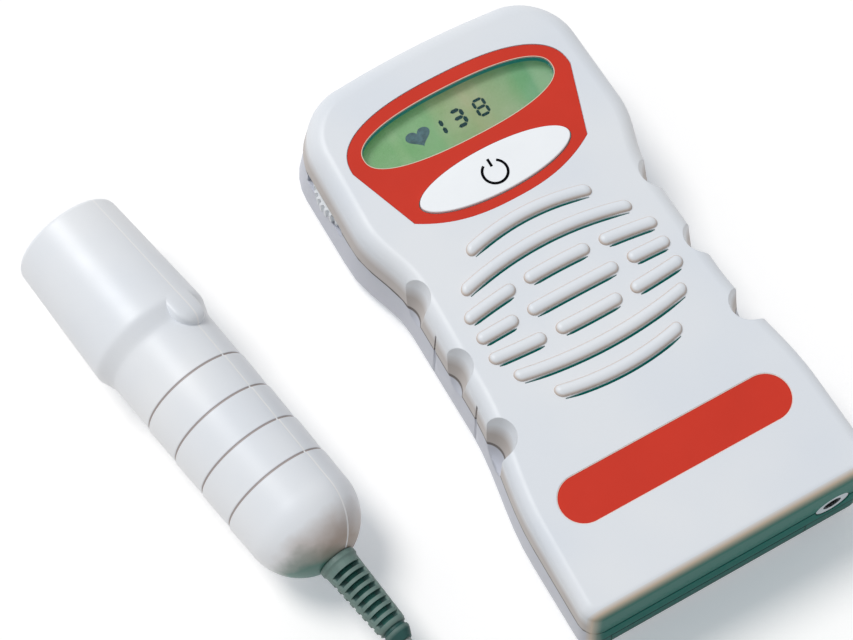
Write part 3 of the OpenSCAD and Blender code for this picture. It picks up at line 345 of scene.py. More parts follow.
def windowFinish():
    # clear pane: light goes through, with a thin gloss on top
    finish, tree, shader, place = startFinish("windowClear")
    clear = tree.nodes.new("ShaderNodeBsdfTransparent")
    gloss = tree.nodes.new("ShaderNodeBsdfGlossy")
    edge = tree.nodes.new("ShaderNodeFresnel")
    blend = tree.nodes.new("ShaderNodeMixShader")
    tree.links.new(addSpeck(tree, place, 6, (247, 252, 247)), clear.inputs["Color"])
    gloss.inputs["Roughness"].default_value = 0.08
    gloss.inputs["Color"].default_value = (0.6, 0.6, 0.6, 1)
    edge.inputs["IOR"].default_value = 1.35
    tree.links.new(edge.outputs["Fac"], blend.inputs["Fac"])
    tree.links.new(clear.outputs["BSDF"], blend.inputs[1])
    tree.links.new(gloss.outputs["BSDF"], blend.inputs[2])
    tree.links.new(blend.outputs["Shader"], tree.nodes["Material Output"].inputs["Surface"])
    tree.nodes.remove(shader)
    return finish


def wireFinish():
    # one lead red, the other black, told apart by their place across the case
    finish, tree, shader, place = startFinish("leadWires")
    across = splitPlace(tree, place)[0]
    left = addMaths(tree, "GREATER_THAN", across, -18.4 * mm)
    leftOnly = addProduct(tree, left, addMaths(tree, "LESS_THAN", across, 0))
    right = addMaths(tree, "GREATER_THAN", across, 8.5 * mm)
    black = addMaths(tree, "MAXIMUM", leftOnly, right)
    tone = addMix(tree, black, screen(176, 38, 34), screen(30, 31, 33))
    speck = addSpeck(tree, place, 1.5, (225, 225, 225))
    tree.links.new(addMix(tree, 1.0, tone, speck, "MULTIPLY"), shader.inputs["Base Color"])
    shader.inputs["Roughness"].default_value = 0.5
    addGrain(tree, shader, place, 0.3, 0.01)
    return finish


finishes = {
    "case_plastic": shellFinish(),
    "panel_film": moulded("panelRed", screen(208, 54, 36), 0.6, 14, 0.03, 0.3, 0.006, 0.1, gloss=0.18),
    "window_pane": windowFinish(),
    "display_green": displayFinish(),
    "diffuser": moulded("diffuserMilky", screen(220, 228, 196), 0.6, 8),
    "dark_plastic": moulded("darkMoulding", screen(46, 50, 53), 0.5, 6, 0.1),
    "button_plastic": moulded("buttonWhite", screen(245, 249, 253), 0.5, 12, 0.015, 0.3, 0.006, 0.12),
    "switch_yellow": moulded("switchYellow", screen(222, 214, 124), 0.45, 3),
    "board_green": moulded("boardGreen", screen(24, 104, 62), 0.35, 2.5, 0.16, 0.25, 0.02, 0.1, 0.0, 0.4),
    "screw_steel": moulded("screwSteel", screen(196, 199, 203), 0.32, 2, 0.08, 0.2, 0.01, 0.06, 1.0),
    "spring_steel": moulded("springSteel", screen(205, 205, 206), 0.26, 2, 0.06, 0.2, 0.008, 0.0, 1.0),
    "socket_chrome": moulded("socketChrome", screen(214, 217, 221), 0.14, 2, 0.05, 0.2, 0.004, 0.05, 1.0),
    "foam": moulded("darkFoam", screen(50, 50, 53), 0.9, 2, 0.2, 0.35, 0.12),
    "cone_paper": moulded("conePaper", screen(66, 58, 52), 0.85, 1.6, 0.2, 0.4, 0.08),
    "magnet": moulded("magnetIron", screen(96, 98, 102), 0.45, 3, 0.12, 0.3, 0.02, 0.15, 0.8),
    "lead_red": wireFinish(),
    "wheel_plastic": moulded("wheelWhite", screen(226, 231, 236), 0.45, 8, 0.03, 0.3, 0.01, 0.1),
    "cell_wrap": moulded("cellWrap", screen(46, 60, 78), 0.3, 7, 0.12, 0.3, 0.006, 0.2, 0.0, 0.3),
    "lens_resin": moulded("lensResin", screen(120, 146, 172), 0.3, 6, 0.05, 0.4, 0.006, 0.2, 0.0, 0.5),
    "crystal": moulded("crystalCeramic", screen(214, 204, 176), 0.6, 2, 0.08),
    "relief_rubber": moulded("reliefRubber", screen(132, 148, 143), 0.55, 3, 0.09, 0.3, 0.02, 0.12),
    "cord_jacket": moulded("cordJacket", screen(150, 158, 156), 0.5, 4, 0.07, 0.3, 0.02),
    "plug_plastic": moulded("plugBlack", screen(66, 72, 75), 0.45, 4, 0.1, 0.3, 0.02, 0.15),
}
marks = {
    "ink": moulded("digitInk", screen(0, 62, 68), 0.7, 1.5, 0.12, gloss=0.03),
    "heart": moulded("heartInk", screen(78, 112, 124), 0.5, 1.2, 0.25, gloss=0.2),
    "icon": moulded("iconInk", screen(3, 4, 7), 0.7, 2, 0.1, gloss=0.03),
    # a painted highlight line round the window
    "rimHighlight": moulded("windowRimHighlightFinish", screen(216, 208, 186), 0.5, 4, 0.06),
    # a painted highlight line round the label
    "pale": moulded("labelRimHighlightFinish", screen(236, 214, 206), 0.5, 4, 0.05),
    # painted shade for the relief's core, seen through its slots
    "tealShade": moulded("reliefShadeTeal", screen(4, 92, 84), 0.6, 2, 0.12),
}
print("finishes made:", len(finishes) + len(marks))


def dress(piece, body, slotName, *stands, finish=None, smooth=None):
    if smooth is not None:
        shadeSmooth(piece, smooth)
    piece.data.materials.clear()
    piece.data.materials.append(finish or finishes[slotName])
    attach(piece, body)
    if stands:
        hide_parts(*stands)
    return piece


# the cord: down from the strain relief, round the coil and out to its plug
cordRoute = {
    "radius": 1.65,
    "exit": (-73.5082, -54.4901, 12.9333),
    "down": [
        (-72.9354, -57.7387, 12.8407), (-72.3626, -60.9873, 12.7481), (-72.9, -68, 9.6), (-76.3, -76.5, 4.8),
    ],
    "coilCentre": (-63, -108, 1.65),
    "coilOuter": 28.4,
    "coilPitch": 3.85,
    "coilTurns": 9.25,
    "coilEntry": 150,
    "plugStart": (-47.5, -141.795, 4.6),
    "length": 1.209,
}


def smoothStep(t):
    return 0 if t <= 0 else 1 if t >= 1 else (1 - math.cos(math.pi * t)) / 2


def curveThrough(points, steps):
    path = []
    for i in range(len(points) - 1):
        a, b = Vector(points[max(i - 1, 0)]), Vector(points[i])
        c, d = Vector(points[i + 1]), Vector(points[min(i + 2, len(points) - 1)])
        for k in range(steps):
            t = k / steps
            square = (2 * a - 5 * b + 4 * c - d) * t * t
            path.append(0.5 * (2 * b + (c - a) * t + square + (3 * b - a - 3 * c + d) * t ** 3))
    return path


def cordPath():
    route = cordRoute
    turnBack = route["coilTurns"] / 2
    inner = route["coilOuter"] - route["coilPitch"] * (turnBack - 0.125)
    centre = Vector(route["coilCentre"])

    def coilPoint(turn):
        away = abs(turn - turnBack)
        spiral = away if away > 0.25 else 0.125 + 2 * away * away
        radius = inner + route["coilPitch"] * (spiral - 0.125)
        angle = math.radians(route["coilEntry"] + 360 * turn)
        rise = route["coilPitch"] * smoothStep((turn - turnBack) / 0.5 + 0.5)
        return centre + Vector((radius * math.cos(angle), radius * math.sin(angle), rise))

    def heading(degrees):
        return Vector((-math.sin(math.radians(degrees)), math.cos(math.radians(degrees)), 0))

    step = 2 * route["radius"]
    wayIn = heading(route["coilEntry"])
    wayOut = heading(route["coilEntry"] + 360 * route["coilTurns"])
    coilStart = coilPoint(0) - step * wayIn
    coilEnd = coilPoint(route["coilTurns"]) + step * wayOut
    plug = Vector(route["plugStart"])
    run = [route["exit"]] + route["down"]
    run += [coilStart - 2 * step * wayIn, coilStart - step * wayIn, coilStart]
    tail = [
        coilEnd, coilEnd + step * wayOut, coilEnd + 2 * step * wayOut - Vector((0, 0, 0.3)),
        (-62, plug.y + 1.5, 4.1), (-55.5, plug.y + 0.2, 4.2), plug - Vector((step, 0, 0)), plug,
    ]
    rings = 40
    coil = [coilPoint(i / rings) for i in range(int(route["coilTurns"] * rings) + 1)]
    return curveThrough(run, 5) + [coilStart] + coil + curveThrough(tail, 5) + [plug]


def makeCord():
    path = cordPath()
    line = bpy.data.curves.new("cord", "CURVE")
    line.dimensions = "3D"
    spline = line.splines.new("POLY")
    spline.points.add(len(path) - 1)
    for point, place in zip(spline.points, path):
        point.co = (*(place * mm), 1)
    line.bevel_depth = cordRoute["radius"] * mm
    line.bevel_resolution = 3
    line.use_fill_caps = True
    spline.use_smooth = True
    cord = bpy.data.objects.new("cord", line)
    bpy.context.scene.collection.objects.link(cord)
    dress(cord, "probe", "cord_jacket", "cord_run", "cord_coil", "cord_tail")
    length = sum((b - a).length for a, b in zip(path, path[1:]))
    print("cord laid, mm:", round(length, 1))
    return cord


cord = makeCord()


# shaping helpers
def editAll(piece, *steps):
    # each step works on the whole mesh in edit mode
    makeActive(piece)
    bpy.ops.object.mode_set(mode="EDIT")
    for step in steps:
        bpy.ops.mesh.select_all(action="SELECT")
        step()
    bpy.ops.object.mode_set(mode="OBJECT")


def applyModifier(piece, kind, **settings):
    makeActive(piece)
    change = piece.modifiers.new(kind.lower(), kind)
    for name, value in settings.items():
        setattr(change, name, value)
    bpy.ops.object.modifier_apply(modifier=change.name)


def makeOutward(piece):
    editAll(piece, lambda: bpy.ops.mesh.normals_make_consistent(inside=False))


def shadeSmooth(piece, angle):
    makeActive(piece)
    bpy.ops.object.shade_smooth_by_angle(angle=math.radians(angle))
    applyModifier(piece, "WEIGHTED_NORMAL", keep_sharp=True)


def softenEdges(piece, width, segments=3, angle=50):
    applyModifier(
        piece, "BEVEL", width=width * mm, segments=segments, limit_method="ANGLE",
        angle_limit=math.radians(angle),
    )


def growRings(name, rings, matrix=None):
    # a circle is extruded ring by ring, and each new ring is set on its points
    deselectAll()
    bpy.ops.mesh.primitive_circle_add(vertices=len(rings[0]), radius=mm, fill_type="NGON")
    piece = bpy.context.object
    piece.name = name
    mesh = piece.data
    order = list(range(len(rings[0])))
    for count, ring in enumerate(rings):
        if count:
            bpy.ops.object.mode_set(mode="EDIT")
            bpy.ops.mesh.extrude_region_move()
            bpy.ops.object.mode_set(mode="OBJECT")
            fresh = {vertex.index for vertex in mesh.vertices if vertex.select}
            above = {}
            for link in mesh.edges:
                a, b = link.vertices
                if (a in fresh) != (b in fresh):
                    above[b if a in fresh else a] = a if a in fresh else b
            order = [above[index] for index in order]
        for index, point in zip(order, ring):
            mesh.vertices[index].co = Vector(point) * mm
    makeOutward(piece)
    if matrix is not None:
        mesh.transform(matrix)
    return piece


def cutPlate(name, outlines, low, high):
    # circles set on the outlines, filled between and raised to a plate
    deselectAll()
    loops = []
    for outline in outlines:
        bpy.ops.mesh.primitive_circle_add(vertices=len(outline), radius=mm, fill_type="NOTHING")
        loops.append(bpy.context.object)
        for vertex, point in zip(loops[-1].data.vertices, outline):
            vertex.co = (point[0] * mm, point[1] * mm, low * mm)
    for loop in loops:
        loop.select_set(True)
    bpy.context.view_layer.objects.active = loops[0]
    if len(loops) > 1:
        bpy.ops.object.join()
    piece = bpy.context.object
    piece.name = name
    rise = {"value": (0, 0, (high - low) * mm)}
    editAll(piece, bpy.ops.mesh.fill, lambda: bpy.ops.mesh.extrude_region_move(TRANSFORM_OT_translate=rise))
    makeOutward(piece)
    return piece


def spinProfile(name, profile, steps=96, angle=360, matrix=None):
    # a closed profile of (radius, height) is spun round the upright axis
    deselectAll()
    bpy.ops.mesh.primitive_circle_add(vertices=len(profile), radius=mm, fill_type="NOTHING")
    piece = bpy.context.object
    piece.name = name
    for vertex, (radius, height) in zip(piece.data.vertices, profile):
        vertex.co = (radius * mm, 0, height * mm)
    editAll(
        piece,
        lambda: bpy.ops.mesh.spin(steps=steps, angle=math.radians(angle), center=(0, 0, 0), axis=(0, 0, 1)),
        lambda: bpy.ops.mesh.remove_doubles(threshold=0.00001),
        lambda: bpy.ops.mesh.dissolve_degenerate(threshold=0.000001),
    )
    if angle < 360:
        editAll(piece, lambda: bpy.ops.mesh.fill_holes(sides=0))
    makeOutward(piece)
    if matrix is not None:
        piece.data.transform(matrix)
    return piece


def joinPieces(pieces):
    deselectAll()
    for piece in pieces:
        piece.select_set(True)
    bpy.context.view_layer.objects.active = pieces[0]
    bpy.ops.object.join()
    return bpy.context.object


def carve(piece, cutter):
    applyModifier(piece, "BOOLEAN", operation="DIFFERENCE", solver="EXACT", object=cutter)
    bpy.data.objects.remove(cutter, do_unlink=True)
    return piece


def addBox(name, low, high, matrix=None):
    deselectAll()
    bpy.ops.mesh.primitive_cube_add(size=1)
    piece = bpy.context.object
    piece.name = name
    size = [(b - a) * mm for a, b in zip(low, high)]
    centre = [(a + b) / 2 * mm for a, b in zip(low, high)]
    piece.data.transform(Matrix.Translation(centre) @ Matrix.Diagonal((*size, 1)))
    if matrix is not None:
        piece.data.transform(matrix)
    return piece


def copyNode(node, name, angle=30):
    # a merged, smooth copy of a node whose shape is right as it is
    piece = bpy.data.objects.new(name, nodes[node].data.copy())
    bpy.context.scene.collection.objects.link(piece)
    editAll(
        piece,
        lambda: bpy.ops.mesh.remove_doubles(threshold=0.000002),
        lambda: bpy.ops.mesh.dissolve_limited(angle_limit=math.radians(0.4)),
    )
    shadeSmooth(piece, angle)
    return piece


def oval(halfWidth, halfHeight, power, centre, count=96):
    points = []
    for i in range(count):
        t = 2 * math.pi * i / count
        c, s = math.cos(t), math.sin(t)
        points.append((
            centre[0] + halfWidth * math.copysign(abs(c) ** (2 / power), c),
            centre[1] + halfHeight * math.copysign(abs(s) ** (2 / power), s),
        ))
    return points


# front of the case
case = {
    "length": 151, "headWidth": 78, "waistWidth": 68.2, "footWidth": 76.2, "height": 28, "partLine": 15.5,
    "wall": 2.2, "headCorner": 16, "footCorner": 4.5, "headBow": 1, "headRound": 4.5, "footRound": 3,
    "backRound": 3.5, "headLean": 0.165, "partBand": 1,
    "seamGroove": 0.35, "headFlare": (14.5, 22), "footFlare": (14.5, 36),
    "scoopRows": (12.8, -7.2, -27.2), "scoopRadius": 5, "scoopBiteLow": 1, "scoopBiteHigh": 3.5,
    "creaseRows": (2.8, -17.2), "crease": 0.8, "creaseSpan": (4, 20.5), "cutSpan": (24.8, 30),
    "wheelSlot": ((-42, 41, 12.3), (-34.4, 59, 16.7)), "socketAt": (27, -75.5, 15),
    "socketSteps": [(0, -3), (4.6, -3), (4.6, 1.2), (3.8, 1.2), (3.8, 4), (0, 4)],
}


def halfWidth(y):
    start, reach = case["headFlare"]
    low, lowReach = case["footFlare"]
    return (
        case["waistWidth"] / 2
        + (case["headWidth"] - case["waistWidth"]) / 2 * smoothStep((y - start) / reach)
        + (case["footWidth"] - case["waistWidth"]) / 2 * smoothStep((-low - y) / lowReach)
    )


def leanAt(y):
    return case["headLean"] * max(y + case["length"] / 2, 0) / case["length"]


def leaned(x, y, z):
    # the walls lean in with height, not at the foot and most at the head
    low, high = case["partLine"] - case["partBand"], case["partLine"] + case["partBand"]
    rise = min(max(z - case["backRound"], 0), low - case["backRound"]) + max(z - high, 0)
    return (
        x * (1 - leanAt(y) * rise / (case["headWidth"] / 2)),
        y - case["headLean"] * rise * max(y, 0) / (case["length"] / 2),
        z,
    )


def sideX(y, z):
    return leaned(halfWidth(y), y, z)[0]


def outlineRight(inset, fine):
    # the right half of the outline, from the foot to the middle of the head edge
    foot, head = -case["length"] / 2, case["length"] / 2
    footRadius = max(case["footCorner"], inset + 0.5)
    footCentre = (case["footWidth"] / 2 - footRadius, foot + footRadius)
    headCentre = (case["headWidth"] / 2 - case["headCorner"], head - case["headBow"] - case["headCorner"])
    footSteps, sideSteps, headSteps, crownSteps = (8, 64, 18, 10) if fine else (4, 26, 8, 4)
    points = []
    for i in range(footSteps):
        turn = math.radians(-90 + 90 * i / footSteps)
        points.append((
            footCentre[0] + (footRadius - inset) * math.cos(turn),
            footCentre[1] + (footRadius - inset) * math.sin(turn),
        ))
    for i in range(sideSteps):
        y = footCentre[1] + (headCentre[1] - footCentre[1]) * i / sideSteps
        points.append((halfWidth(y) - inset, y))
    for i in range(headSteps):
        turn = math.radians(90 * i / headSteps)
        points.append((
            headCentre[0] + (case["headCorner"] - inset) * math.cos(turn),
            headCentre[1] + (case["headCorner"] - inset) * math.sin(turn),
        ))
    for i in range(crownSteps + 1):
        x = headCentre[0] * (1 - i / crownSteps)
        points.append((x, head - inset - case["headBow"] * (x / headCentre[0]) ** 2))
    return points


def edgeRounds(fine):
    foot = -case["length"] / 2
    return [
        case["footRound"] + (case["headRound"] - case["footRound"]) * (y - foot) / case["length"]
        for x, y in outlineRight(0, fine)
    ]


outlineCache = {}


def ringAt(insets, heights, fine):
    right = []
    for i, inset in enumerate(insets):
        key = (round(inset, 5), fine)
        if key not in outlineCache:
            outlineCache[key] = outlineRight(inset, fine)
        x, y = outlineCache[key][i]
        right.append(leaned(x, y, heights[i]))
    return right + [(-x, y, z) for x, y, z in right[-2::-1]]


def faceRings(turns, skin, fine):
    rings = []
    rounds = [max(radius - skin, 0.8) for radius in edgeRounds(fine)]
    for turn in turns:
        c, s = math.cos(math.radians(turn)), math.sin(math.radians(turn))
        rings.append(ringAt(
            [skin + radius * (1 - c) for radius in rounds],
            [case["height"] - skin - radius * (1 - s) for radius in rounds],
            fine,
        ))
    return rings


def levelRing(inset, z, fine):
    count = len(edgeRounds(fine))
    return ringAt([inset] * count, [z] * count, fine)


def scoopCutters(extra):
    cutters = []
    middleY = case["scoopRows"][1]
    lowX = sideX(middleY, case["partLine"]) - case["scoopBiteLow"] + case["scoopRadius"]
    highX = sideX(middleY, case["height"]) - case["scoopBiteHigh"] + case["scoopRadius"]
    lean = math.atan((lowX - highX) / (case["height"] - case["partLine"]))
    radius = case["scoopRadius"] + extra
    profile = [(0, -radius)]
    for angle in range(-80, 1, 8):
        profile.append((radius * math.cos(math.radians(angle)), radius * math.sin(math.radians(angle))))
    profile += [(radius, 25), (0, 25)]
    for side in (-1, 1):
        for y in case["scoopRows"]:
            place = Matrix.Translation((side * lowX * mm, y * mm, case["partLine"] * mm))
            place = place @ Matrix.Rotation(-side * lean, 4, "Y")
            cutters.append(spinProfile("scoopCut", profile, 48, 360, place))
    return joinPieces(cutters)


panel = {
    "topY": 60.7, "wideY": 47.5, "lowY": 22.8, "half": 30, "cornerX": 23.6, "cornerRise": 6,
    "filmLow": 27.6, "filmTop": 27.82, "gap": 0.1,
    "windowCentre": (0, 49.5), "windowHalf": (25.85, 7.5), "windowPower": 2.4,
    "buttonCentre": (0, 31.7), "buttonHalf": (20.3, 6.2), "buttonGap": 0.25,
}


def panelOutline(shrink):
    half, corner = panel["half"] - shrink, panel["cornerX"] - shrink
    cornerY = panel["lowY"] + panel["cornerRise"] + shrink / 2
    depth = cornerY - panel["lowY"] - shrink
    points = []
    for i in range(61):
        t = math.radians(3 * i)
        c, s = math.cos(t), math.sin(t)
        points.append((
            math.copysign(half * abs(c) ** 0.8, c),
            panel["wideY"] + (panel["topY"] - shrink - panel["wideY"]) * max(s, 0) ** 0.8,
        ))
    for i in range(-16, 17):
        x = corner * i / 16
        points.append((x, panel["lowY"] + shrink + depth * (abs(x) / corner) ** 2.5))
    return points


def windowOutline(grow):
    half = panel["windowHalf"]
    return oval(half[0] + grow, half[1] + grow, panel["windowPower"], panel["windowCentre"], 120)


def buttonOutline(grow, count=120):
    half = panel["buttonHalf"]
    return oval(half[0] + grow, half[1] + grow, 2, panel["buttonCentre"], count)


label = {"centreY": -49.5, "length": 60, "width": 11.7, "low": 27.4, "top": 27.86, "gap": 0.2}


def labelOutline(grow):
    radius = label["width"] / 2 + grow
    reach = (label["length"] - label["width"]) / 2
    points = []
    for i in range(33):
        t = math.radians(-90 + 180 * i / 32)
        points.append((reach + radius * math.cos(t), label["centreY"] + radius * math.sin(t)))
    return points + [(-x, y) for x, y in reversed(points)]


grille = {
    "middleY": -6.2, "pitch": 7.5, "curve": 0.0055, "levelRow": 3.3,
    "halves": (15.4, 21.5, 24.4, 24.4, 24.4, 21.5, 15.4), "gaps": (0, 0, 7.25, 10.6, 7.25, 0, 0),
    "slitGap": 5.7, "slitWidth": 0.7, "barWidth": 3.3, "barHeight": 1.2, "barStep": 0.12, "barOverhang": 1.5,
}


def grilleSlits():
    slits = []
    for row in range(7):
        half, gap = grille["halves"][row], grille["gaps"][row]
        if gap:
            slits.append((row, -half, -gap - grille["slitGap"]))
            slits.append((row, -gap, gap))
            slits.append((row, gap + grille["slitGap"], half))
        else:
            slits.append((row, -half, half))
    return slits


def rowLine(row, x):
    curve = grille["curve"] * (grille["levelRow"] - row)
    return grille["middleY"] + grille["pitch"] * (3 - row) - curve * x * x / 2


def slitOutline(row, left, right):
    half = grille["slitWidth"] / 2
    lower, upper = [], []
    for i in range(25):
        x = left + (right - left) * i / 24
        taper = half * min(1, 0.35 + 0.65 * math.sin(math.pi * i / 24) * 3)
        lower.append((x, rowLine(row, x) - taper))
        upper.append((x, rowLine(row, x) + taper))
    return lower + upper[::-1]


def makeCaseFront():
    part, groove, band = case["partLine"], case["seamGroove"], case["partBand"]
    rings = [levelRing(groove, part, True)] + [levelRing(0, part + rise, True) for rise in (groove, band)]
    front = growRings("caseFront", rings + faceRings([7.5 * i for i in range(13)], 0, True))
    rings = [levelRing(case["wall"], part - band, False), levelRing(case["wall"], part + band, False)]
    hollow = growRings("hollow", rings + faceRings([0, 30, 60, 90], case["wall"], False))
    carve(hollow, scoopCutters(case["wall"]))
    carve(front, hollow)
    print("case front: shell")
    cutters = [scoopCutters(0)]
    half, foot = case["crease"] / 2, case["backRound"]
    low, high = case["creaseSpan"]
    for side in (-1, 1):
        for y in case["creaseRows"]:
            turn = Matrix.Translation((side * sideX(y, foot) * mm, y * mm, foot * mm))
            turn = turn @ Matrix.Rotation(-side * math.atan(leanAt(y)), 4, "Y")
            turn = turn @ Matrix.Rotation(math.pi / 4, 4, "Z")
            cutters.append(addBox("creaseCut", (-half, -half, low), (half, half, high), turn))
    carve(front, joinPieces(cutters))
    low, high = case["cutSpan"]
    carve(front, cutPlate("panelCut", [panelOutline(-panel["gap"])], panel["filmLow"], high + 1))
    openings = [
        cutPlate("windowCut", [windowOutline(0)], low, high),
        cutPlate("buttonCut", [buttonOutline(panel["buttonGap"])], low, high),
        cutPlate("labelCut", [labelOutline(label["gap"])], label["low"], high),
    ]
    openings += [cutPlate("slitCut", [slitOutline(*slit)], low, high) for slit in grilleSlits()]
    carve(front, joinPieces(openings))
    slot = addBox("wheelCut", *case["wheelSlot"])
    place = Matrix.Translation([value * mm for value in case["socketAt"]])
    place = place @ Matrix.Rotation(-math.pi / 2, 4, "X")
    recess = spinProfile("socketCut", case["socketSteps"], 64, 360, place)
    carve(front, joinPieces([slot, recess]))
    dress(front, "handset", "case_plastic", "front_shell", smooth=28)
    print("case front: openings cut")


makeCaseFront()


def makeBar(row, left, right):
    # half a rounded bar is drawn out from a ball, mirrored, and laid along its row
    half, height = grille["barWidth"] / 2, grille["barHeight"]
    start = left - grille["barOverhang"] + half
    end = right + grille["barOverhang"] - half
    reach = (end - start) / 2
    deselectAll()
    bpy.ops.mesh.primitive_uv_sphere_add(segments=24, ring_count=12, radius=half * mm)
    bar = bpy.context.object
    bar.name = "louvreBar"
    bpy.ops.object.mode_set(mode="EDIT")
    bpy.ops.mesh.select_all(action="SELECT")
    bpy.ops.mesh.bisect(plane_co=(0, 0, 0), plane_no=(1, 0, 0), clear_inner=True)
    bpy.ops.mesh.select_all(action="DESELECT")
    bpy.ops.object.mode_set(mode="OBJECT")
    for vertex in bar.data.vertices:
        vertex.select = abs(vertex.co.x) < 1e-7
    for edge in bar.data.edges:
        edge.select = all(bar.data.vertices[i].select for i in edge.vertices)
    steps = max(3, int(reach / 2.2))
    bpy.ops.object.mode_set(mode="EDIT")
    for i in range(steps):
        bpy.ops.mesh.extrude_region_move(TRANSFORM_OT_translate={"value": (-reach / steps * mm, 0, 0)})
    bpy.ops.object.mode_set(mode="OBJECT")
    bar.data.transform(Matrix.Translation((reach * mm, 0, 0)))
    bar.data.transform(Matrix.Diagonal((1, 1, height / half, 1)))
    applyModifier(bar, "MIRROR", merge_threshold=0.00002)
    middle = (start + end) / 2
    lift = grille["slitWidth"] / 2 + grille["barStep"] + half
    for vertex in bar.data.vertices:
        x = vertex.co.x / mm + middle
        y = vertex.co.y + (rowLine(row, x) + lift) * mm
        vertex.co = (x * mm, y, case["height"] * mm + max(vertex.co.z, -0.25 * mm))
    makeOutward(bar)
    return bar


def makeBars():
    bars = joinPieces([makeBar(*slit) for slit in grilleSlits()])
    bars.name = "louvreBars"
    dress(bars, "handset", "case_plastic", smooth=60)
    print("louvre bars laid")


makeBars()


def makeShellCopies():
    for node, name, body, slotName in (
        ("rear_shell", "caseRear", "handset", "case_plastic"),
        ("battery_door", "doorPanel", "door", "case_plastic"),
        ("probe_face", "probeLens", "probe", "lens_resin"),
        ("socket_ring", "socketRing", "handset", "socket_chrome"),
        ("battery_cells", "cells", "handset", "cell_wrap"),
        ("case_screws", "backScrews", "handset", "screw_steel"),
    ):
        dress(copyNode(node, name), body, slotName, node)
    print("rear shell, door and round pieces copied")


makeShellCopies()


def makePanel():
    film = cutPlate(
        "panelFilm", [panelOutline(0), windowOutline(0), buttonOutline(panel["buttonGap"])],
        panel["filmLow"], panel["filmTop"],
    )
    dress(film, "handset", "panel_film", "control_panel", smooth=30)
    top = panel["filmTop"]
    # a pale ring round the window: a painted highlight on its edge
    rimHighlight = cutPlate("windowRimHighlight", [windowOutline(0.2), windowOutline(0.02)], top - 0.05, top + 0.04)
    dress(rimHighlight, "handset", "panel_film", finish=marks["rimHighlight"], smooth=30)
    plate = cutPlate("labelPlate", [labelOutline(0)], label["low"], label["top"])
    softenEdges(plate, 0.08, 2)
    dress(plate, "handset", "panel_film", "label_plate", smooth=30)
    # a pale ring round the label: a painted highlight on its edge
    rim = cutPlate("labelRimHighlight", [labelOutline(label["gap"] + 0.05), labelOutline(0.02)], label["low"], 27.93)
    dress(rim, "handset", "panel_film", finish=marks["pale"], smooth=30)
    print("panel and label plate made")


makePanel()


display = {
    "low": 24.6, "top": 24.66, "digitHeight": 4.4, "digitWidth": 2.6,
    "digits": (("1", -4.4, 49.35, 0.98), ("3", 0.07, 49.55, 0.98), ("8", 6.2, 49.45, 0.76)),
    "heart": (-10.84, 49.9), "heartSize": 0.2,
}
segmentPlaces = {
    "a": ((-1, 2), (1, 2)), "b": ((1, 2), (1, 0)), "c": ((1, 0), (1, -2)), "d": ((-1, -2), (1, -2)),
    "e": ((-1, 0), (-1, -2)), "f": ((-1, 2), (-1, 0)), "g": ((-1, 0), (1, 0)),
}
digitSegments = {"1": "bc", "3": "abcdg", "8": "abcdefg"}


def segmentOutline(start, end, stroke):
    a, b = Vector(start), Vector(end)
    way = (b - a).normalized()
    aside = Vector((-way.y, way.x)) * stroke / 2
    a, b = a + way * 0.12, b - way * 0.12
    tip = way * stroke / 2
    return [a, a + tip + aside, b - tip + aside, b, b - tip - aside, a + tip - aside]


def makeDigits():
    plates = []
    for digit, x, y, stroke in display["digits"]:
        for name in digitSegments[digit]:
            ends = []
            for u, v in segmentPlaces[name]:
                shift = 0 if digit != "1" else -display["digitWidth"] / 2
                ends.append((x + shift + u * display["digitWidth"] / 2, y + v * display["digitHeight"] / 4))
            outline = segmentOutline(*ends, stroke)
            plates.append(cutPlate("segment", [outline], display["low"], display["top"]))
    digits = joinPieces(plates)
    digits.name = "displayDigits"
    dress(digits, "handset", "display_green", finish=marks["ink"])
    heartLine = []
    x0, y0, size = *display["heart"], display["heartSize"]
    for i in range(48):
        t = 2 * math.pi * i / 48
        x = 16 * math.sin(t) ** 3
        y = 13 * math.cos(t) - 5 * math.cos(2 * t) - 2 * math.cos(3 * t) - math.cos(4 * t)
        heartLine.append((x0 + x * size, y0 + y * size * 0.85))
    heart = cutPlate("displayHeart", [heartLine], display["low"], display["top"])
    dress(heart, "handset", "display_green", finish=marks["heart"])
    print("display marks laid")


makeDigits()


button = {
    "stemRadius": 2.4, "rimLow": 24.95, "rimTop": 25.75, "rim": 0.9, "top": 28.42, "crown": 0.1, "edge": 0.3,
    "iconCentre": (-0.54, 30.96), "iconRadius": 3.1, "iconStroke": 0.68, "iconGap": 34,
    "iconSpan": (28.3, 28.53), "barSpan": (0.5, 1.22),
}


